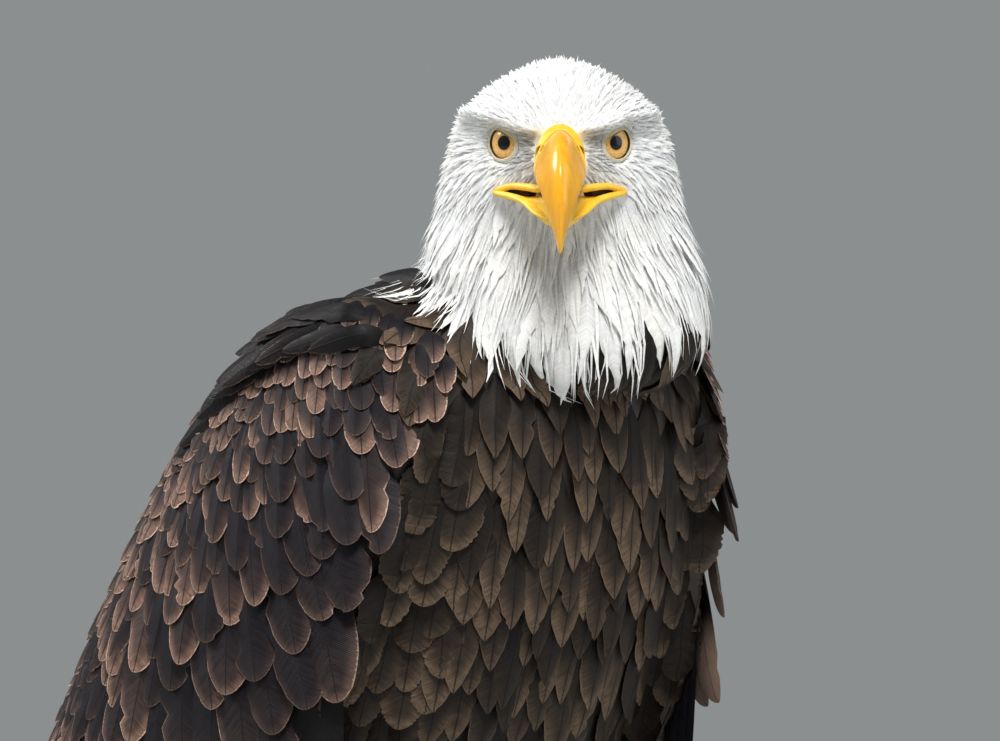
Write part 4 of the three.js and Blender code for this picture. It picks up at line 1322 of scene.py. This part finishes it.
# ---------------------------------------------------------------- tail
def tail_coat():
    # Greyer roots: painted shade at the roots, where the tail feathers lie under one another and the body.
    material = white_feathers("tail_feathers", (0.62, 0.6, 0.56), (0.82, 0.82, 0.81), (0.74, 0.68, 0.56), 0.3)
    shares = rows_of(26, 0.9)
    pitch = math.radians(TAIL["pitch"])
    ahead = np.array([0, math.cos(pitch), -math.sin(pitch)])
    out = np.array([0, math.sin(pitch), math.cos(pitch)])
    side = (2 * (np.arange(TAIL["count"]) + 0.5) / TAIL["count"] - 1)[:, None]
    reach = (TAIL["length"] - 3) * shares[None] * (1 - 0.06 * side**2)
    points = np.array(TAIL["root"]) + reach[..., None] * ahead - (TAIL["droop"] * side**2)[..., None] * out
    half = TAIL["half"][0] + (TAIL["half"][1] - 6 - TAIL["half"][0]) * shares[None]
    points[..., 0] += side * half
    normals = np.broadcast_to(out, points.shape)
    lift = (1.6 * (1 - np.abs(side)) + 0.2) * MM + 0 * reach
    uv = np.stack([0.05 + 0.9 * (side[:, 0] + 1) / 2, np.full(TAIL["count"], 0.5)], -1)
    coat = Coat()
    coat.add(from_stance(points), normals, np.full(TAIL["count"], 11.5 * MM), quill(shares, 0.09), shares, lift, uv,
             columns=9, camber=0.05, tilt=-0.08 * np.sign(side[:, 0]), fray=0.02, splits=0.03, tone=0.0)
    coat.build("tail_coat", material, "white_plumage", "tail")


# ---------------------------------------------------------------- bill, eyes and lids
def bill_rings(rows, sides):
    """Rings along the upper bill and how far each point lies beyond the cere's front edge."""
    line = resample(BILL_ROWS, rows)
    ahead = unit(np.gradient(line[:, :2], axis=0))
    forward, up, half, top, bottom = line.T[:, :, None]
    angle = np.linspace(0, 2 * math.pi, sides, endpoint=False)
    c, s = np.cos(angle), np.sin(angle)
    rise = np.where(s > 0, top, bottom) * s
    y = forward - rise * ahead[:, 1:]
    z = up + rise * ahead[:, :1]
    beyond = y - CERE_END["forward"] + CERE_END["slope"] * z
    horn = smoothstep(-0.5, 0.7, beyond)
    step = smoothstep(-2.6, 1.2, beyond)
    ridge = RIDGE["cere"] + (np.where(s < 0, RIDGE["edge"], RIDGE["horn"]) - RIDGE["cere"]) * step
    narrow = 1 - 0.2 * step * smoothstep(-0.55, 0.45, s)
    z = z - (3.0 - 2.2 * smoothstep(3, 15, beyond)) * step * np.maximum(s, 0)
    wide = (half + 0.4 * (1 - horn)) * np.where(s < 0, curved(c, 0.6), c) * (1 - ridge * s) * narrow
    groove = 0.45 * np.exp(-((beyond - 0.7) / 0.45) ** 2)
    return np.stack([wide * (1 - groove / 9), -y, z - groove * s], -1), beyond


def cere_edge(rings, beyond):
    """The thin raised line where the cere ends on the horn."""
    column = np.arange(rings.shape[1])
    first = np.argmax(beyond > 0, axis=0)
    after, before = beyond[first, column], beyond[first - 1, column]
    share = (-before / (after - before))[:, None]
    line = rings[first - 1, column] * (1 - share) + rings[first, column] * share
    line = np.concatenate([line, line[:1]])
    return limb(np.column_stack([line, np.full((len(line), 2), 0.42)]), 10, [0, 1, 0])


def make_bill(horn, cere):
    rings, beyond = bill_rings(240, 144)
    points, faces = loft(rings)
    # bare marks the nostril openings, painted near-black on the bill and the cere: painted shade inside the holes.
    bare = np.zeros(len(points))
    for sign in (-1, 1):
        away = points - [sign * NOSTRIL["side"], -NOSTRIL["forward"], NOSTRIL["up"]]
        away[:, 1] += NOSTRIL["lean"] * away[:, 2]
        inside = np.linalg.norm(away / NOSTRIL["half"] * [0.4, 1, 1], axis=1)
        inside = np.where(points[:, 0] * sign > 0, inside, 9)
        pit = smoothstep(1.0, 0.6, inside)
        rim = smoothstep(2.0, 1.3, inside) * smoothstep(0.8, 1.2, inside)
        points[:, 0] -= sign * (1.9 * pit - 0.25 * rim)
        points[:, 1] += 1.9 * pit - 0.25 * rim
        bare = np.maximum(bare, smoothstep(1.0, 0.75, inside))
    around = np.arctan2(points[:, 0], points[:, 2] + 5) * 6
    along = np.linalg.norm((points - points[0]) * [0, 1, 1], axis=1)
    marks = np.stack([along, around, bare], -1)
    quads = faces[0]
    depth = np.append(beyond.ravel(), [-20, 60])
    soft = depth[quads].mean(axis=1) < 0
    world = from_head(points)
    lips = [loft(from_head(rings)) for rings in lip_rings(LIP_UPPER)]
    lips.append(loft(from_head(cere_edge(rings, beyond))))
    cere_points, cere_faces = joined([(world, [quads[soft]]), *lips])
    lip_marks = np.zeros((len(cere_points) - len(world), 3))
    cere_piece = add_mesh("cere_coat", cere_points, cere_faces, [cere],
                          attributes={"horn": np.concatenate([marks, lip_marks])})
    settle(cere_piece, "cere_skin", "cere")
    upper = add_mesh("bill_upper_coat", world, [quads[~soft], faces[1]], [horn], attributes={"horn": marks})
    settle(upper, "bill_horn", "bill_upper")
    line = resample(JAW_ROWS, 70)
    forward, up, half, top, bottom = line.T[:, :, None]
    angle = np.linspace(0, 2 * math.pi, 64, endpoint=False)
    c, s = np.cos(angle), np.sin(angle)
    jaw = np.stack([half * curved(c, 0.75), -forward + 0 * c, up + np.where(s > 0, top, bottom) * s], -1)
    jaw_points, jaw_faces = loft(jaw)
    parts = [(from_head(jaw_points), jaw_faces)] + [loft(from_head(rings)) for rings in lip_rings(LIP_LOWER)]
    all_points, all_faces = joined(parts)
    place = to_head(all_points)
    marks = np.stack([-place[:, 1], np.abs(place[:, 0]), np.zeros(len(place))], -1)
    lower = add_mesh("bill_lower_coat", all_points, all_faces, [cere], attributes={"horn": marks})
    settle(lower, "bill_horn", "bill_lower")
    # A near-black piece behind the lips stands for the shade in the gape.
    mouth = resample([[r[0] * 0.87, r[1] - 3.0, r[2] - 2.0, 2.2, 2.4] for r in LIP_UPPER[2:]], 20)
    mouth[:, 1] *= -1
    rings = limb(mouth, 12, [0, 0, 1])
    mouth_points, mouth_faces = joined([loft(from_head(rings)), loft(from_head(mirrored(rings)))])
    settle(add_mesh("mouth_painted_shade", mouth_points, mouth_faces, [mouth_shade_material()]), "cere_skin")


def lip_rings(rows):
    line = resample(rows, 40)
    line[:, 1] *= -1
    rings = limb(line, 20, [0, 0, 1])
    return rings, mirrored(rings)


def make_eyes():
    material, lids = eye_material(), lid_material()
    turns = np.linspace(0, 2 * math.pi, 72, endpoint=False)
    front = np.linspace(0.15, IRIS, 26)
    lean = np.linspace(math.asin(IRIS / EYE["radius"]), math.radians(178), 40)[1:]
    radius = np.concatenate([front, EYE["radius"] * np.sin(lean)])
    depth = np.concatenate([eye_depth(front), EYE["radius"] * np.cos(lean)])
    for side in EYES:
        middle, ahead, inward, up = gaze(side)
        ring = inward * np.cos(turns)[:, None] + up * np.sin(turns)[:, None]
        rings = middle + (ahead * depth[:, None, None] + ring[None] * radius[:, None, None]) * MM
        points, faces = loft(rings)
        # The eye looks a little nearer to straight ahead than its opening faces.
        turn = math.radians(EYE["turn"] - EYE["gaze"])
        away = (points - middle) / MM
        u, v, w = away @ inward, away @ up, away @ ahead
        u, w = u * math.cos(turn) - w * math.sin(turn), u * math.sin(turn) + w * math.cos(turn)
        distance = np.where(w > 0, np.hypot(u, v), 20)
        marks = np.stack([distance, *unit(np.stack([u, v], -1)).T], -1)
        settle(add_mesh("eye_globe_" + side, points, faces, [material], attributes={"gaze": marks}), "eye", "eye_" + side)
        make_lids(side, lids)


def make_lids(side, material):
    """A ring of skin round the eye, from its wet dark rim out to under the face feathers."""
    middle, ahead, inward, up = gaze(side)
    turns = np.linspace(0, 2 * math.pi, 120, endpoint=False)
    steps = np.linspace(0, 1, 22)[:, None]
    inner = lid_radius(turns)
    radius = inner + (LIDS["reach"] + 0.8 - inner) * steps
    rest = eye_depth(np.full(1, LIDS["open"]))
    sits = np.maximum(eye_depth(radius), rest * smoothstep(0.0, 0.2, steps))
    rim = 0.75 * smoothstep(0, 0.1, steps) * smoothstep(1.3, 0.1, steps)
    folds = 0.16 * np.sin(steps * 26 + 0.8 * np.sin(turns * 3)) * smoothstep(0.15, 0.4, steps)
    depth = sits + 0.05 + rim + folds - 1.2 * smoothstep(0.7, 1, steps)
    ring = inward * np.cos(turns)[:, None] + up * np.sin(turns)[:, None]
    outer = middle + (ahead * depth[..., None] + ring[None] * radius[..., None]) * MM
    under = middle + (ahead * (depth - 1.4)[..., None] + ring[None] * radius[..., None]) * MM
    rings = np.concatenate([outer, under[::-1], outer[:1]])
    rows, sides = rings.shape[:2]
    grid = np.arange(rows * sides).reshape(rows, sides)
    beside = np.roll(grid, -1, axis=1)
    quads = np.stack([grid[:-1], beside[:-1], beside[1:], grid[1:]], -1).reshape(-1, 4)
    if side == "right":
        quads = quads[:, ::-1]
    marks = np.concatenate([steps, steps[::-1], steps[:1]])
    marks = np.broadcast_to(marks[:, :, None], (rows, sides, 3)).reshape(-1, 3)
    settle(add_mesh("eyelid_" + side, rings.reshape(-1, 3), [quads], [material], attributes={"lid": marks}), "cere_skin")


# ---------------------------------------------------------------- legs
def make_talons():
    """The claws keep their CAD shape, made smooth."""
    material = horn_material("talon_horn", (0.006, 0.005, 0.005), (0.03, 0.024, 0.02), 0.22, 1.2)
    for name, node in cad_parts.items():
        if not name.startswith("talon_"):
            continue
        points, faces = node_mesh(name)
        piece = add_mesh(name + "_horn", points, faces, [material], attributes={"horn": points / MM * [0.4, 0.4, 0]})
        smooth = piece.modifiers.new("smooth", "REMESH")
        smooth.mode = "VOXEL"
        smooth.voxel_size = 0.7 * MM
        relax = piece.modifiers.new("relax", "SMOOTH")
        relax.iterations = 24
        settle(piece, "talon_horn", name)


def make_scutes():
    """Overlapping horny plates over each toe."""
    material = horn_material("scutes", (0.62, 0.36, 0.03), (0.88, 0.58, 0.09), 0.35, 0.8)
    for side, sign in (("right", -1), ("left", 1)):
        parts = []
        for heading, length, half in TOES.values():
            turn = math.radians(heading)
            ahead = np.array([sign * math.sin(turn), -math.cos(turn), 0])
            across = np.cross(ahead, [0, 0, 1.0])
            count = int(length / 5.2)
            for i in range(1, count):
                share = i / count
                thick = half * (1 - 0.3 * share) * (1 + 0.1 * math.cos(share * 4 * math.pi))
                base = np.array([sign * ANKLE[0], ANKLE[1], 0]) + ahead * length * share
                base[2] = thick - 1.2 + 3 * math.sin(share * math.pi)
                parts.append(plate(base, ahead, across, np.array([0, 0, 1.0]), thick, 6.4))
        points, faces = joined(parts)
        points = from_stance(points)
        marks = to_head(points) * [0.3, 0.3, 0]
        settle(add_mesh("scutes_" + side, points, faces, [material], attributes={"horn": marks}), "leg_skin")


def plate(base, ahead, across, up, radius, length):
    """A thin curved plate over a toe of that radius, its front edge proud of the next plate."""
    angle = np.radians(np.linspace(-62, 62, 13))
    steps = np.array([-0.5, -0.2, 0.2, 0.45, 0.5])
    rise = np.array([0.1, 0.5, 0.75, 0.6, 0.1])
    rings = []
    for step, proud in zip(steps, rise):
        reach = radius + proud * np.cos(angle * 1.2)
        arc = across * np.sin(angle)[:, None] + up * np.cos(angle)[:, None]
        rim = base + ahead * step * length + arc * reach[:, None]
        rings.append(np.concatenate([rim, (base + ahead * step * length + arc * (radius - 1.0))[::-1]]))
    return loft(np.array(rings))


# ---------------------------------------------------------------- stage
def make_stage():
    material, tree, shader = new_material("floor")
    grain = noise(tree, object_place(tree), 60.0, 4.0)
    plug(tree, shader.inputs["Base Color"], mix(tree, grain, rgb(0.5, 0.51, 0.5), rgb(0.53, 0.54, 0.53)))
    shader.inputs["Roughness"].default_value = 0.8
    angle = np.linspace(0, 2 * math.pi, 96, endpoint=False)
    ring = np.stack([np.cos(angle), np.sin(angle), 0 * angle], -1)
    rings = np.stack([ring * 9 - [0, 0, 0.02], ring * 9 - [0, 0, 0.0005]])
    points, faces = loft(rings)
    add_mesh("floor", points, faces, [material])

    world = bpy.data.worlds.new("studio")
    bpy.context.scene.world = world
    world.use_nodes = True
    world.node_tree.nodes["Background"].inputs[0].default_value = rgb(0.26, 0.275, 0.275)
    world.node_tree.nodes["Background"].inputs[1].default_value = 1.0
    for name, place, size, power, colour in (
        ("key", (-1.5, -2.4, 3.2), 1.0, 150, (1.0, 0.985, 0.96)),
        ("fill", (2.4, -2.4, 1.3), 2.4, 26, (0.94, 0.97, 1.0)),
        ("rim", (-1.9, 2.2, 2.6), 1.4, 100, (1.0, 1.0, 1.0)),
    ):
        light = bpy.data.lights.new(name, "AREA")
        light.size = size
        light.energy = power
        light.color = colour
        lamp = bpy.data.objects.new(name, light)
        lamp.location = place
        lamp.rotation_euler = (Vector((0, -0.05, 0.4)) - Vector(place)).to_track_quat("-Z", "Y").to_euler()
        bpy.context.scene.collection.objects.link(lamp)


def make_camera():
    """Level and far away, where the point between the eyes is at (560, 143) in a picture of 1000 x 741 pixels."""
    pixel = 0.41 * MM
    distance = 5.5
    middle = from_head([0, -EYE["forward"] - 4, EYE["up"]])
    azimuth = math.radians(-38)
    right = np.array([math.cos(azimuth), math.sin(azimuth), 0])
    back = np.array([math.sin(azimuth), -math.cos(azimuth), 0])
    target = middle - right * (560 - 500) * pixel + np.array([0, 0, (143 - 370.5) * pixel])
    camera = bpy.data.cameras.new("camera")
    camera.sensor_width = 36
    camera.lens = 36 * distance / (1000 * pixel)
    camera.clip_end = 60
    piece = bpy.data.objects.new("camera", camera)
    piece.location = target + back * distance
    piece.rotation_euler = (Vector(-back)).to_track_quat("-Z", "Y").to_euler()
    bpy.context.scene.collection.objects.link(piece)
    bpy.context.scene.camera = piece
    bpy.context.scene.view_settings.view_transform = "Standard"


# ---------------------------------------------------------------- the bird
skin_points, skin_faces, flesh, kind = make_skin()
skin_piece = add_mesh("skin", skin_points, [skin_faces], [skin_material()], attributes={"flesh": flesh})
settle(skin_piece, "brown_plumage", "tarsus_right", "tarsus_left", "foot_right", "foot_left")
skin = Surface(skin_points, skin_faces)
white_coat(skin, flesh)
breast = body_coat(skin, flesh, kind, wing_finder())
thigh_coat(skin, flesh, kind, breast)
coverts = brown_feathers("wing_coverts", (0.005, 0.0037, 0.0068), (0.19, 0.112, 0.084), (0.62, 0.43, 0.33), 0.7,
                         spread=(0.4, 5.5), start=0.4)
scapulars = brown_feathers("scapular_feathers", (0.0035, 0.0028, 0.0037), (0.022, 0.014, 0.011), (0.14, 0.085, 0.062), 0.5)
flight = brown_feathers("flight_feathers", (0.0045, 0.0036, 0.0048), (0.04, 0.026, 0.02), (0.15, 0.1, 0.07), 0.8, start=0.7)
for side in ("right", "left"):
    wing_coat(side, coverts)
    flight_coat(side, flight)
    scapular_coat(skin, side, scapulars)
tail_coat()
make_bill(horn_material("bill_horn", (0.8, 0.34, 0.006), (0.88, 0.45, 0.012), 0.24, 0.6), cere_material())
make_eyes()
make_talons()
make_scutes()
make_stage()
make_camera()
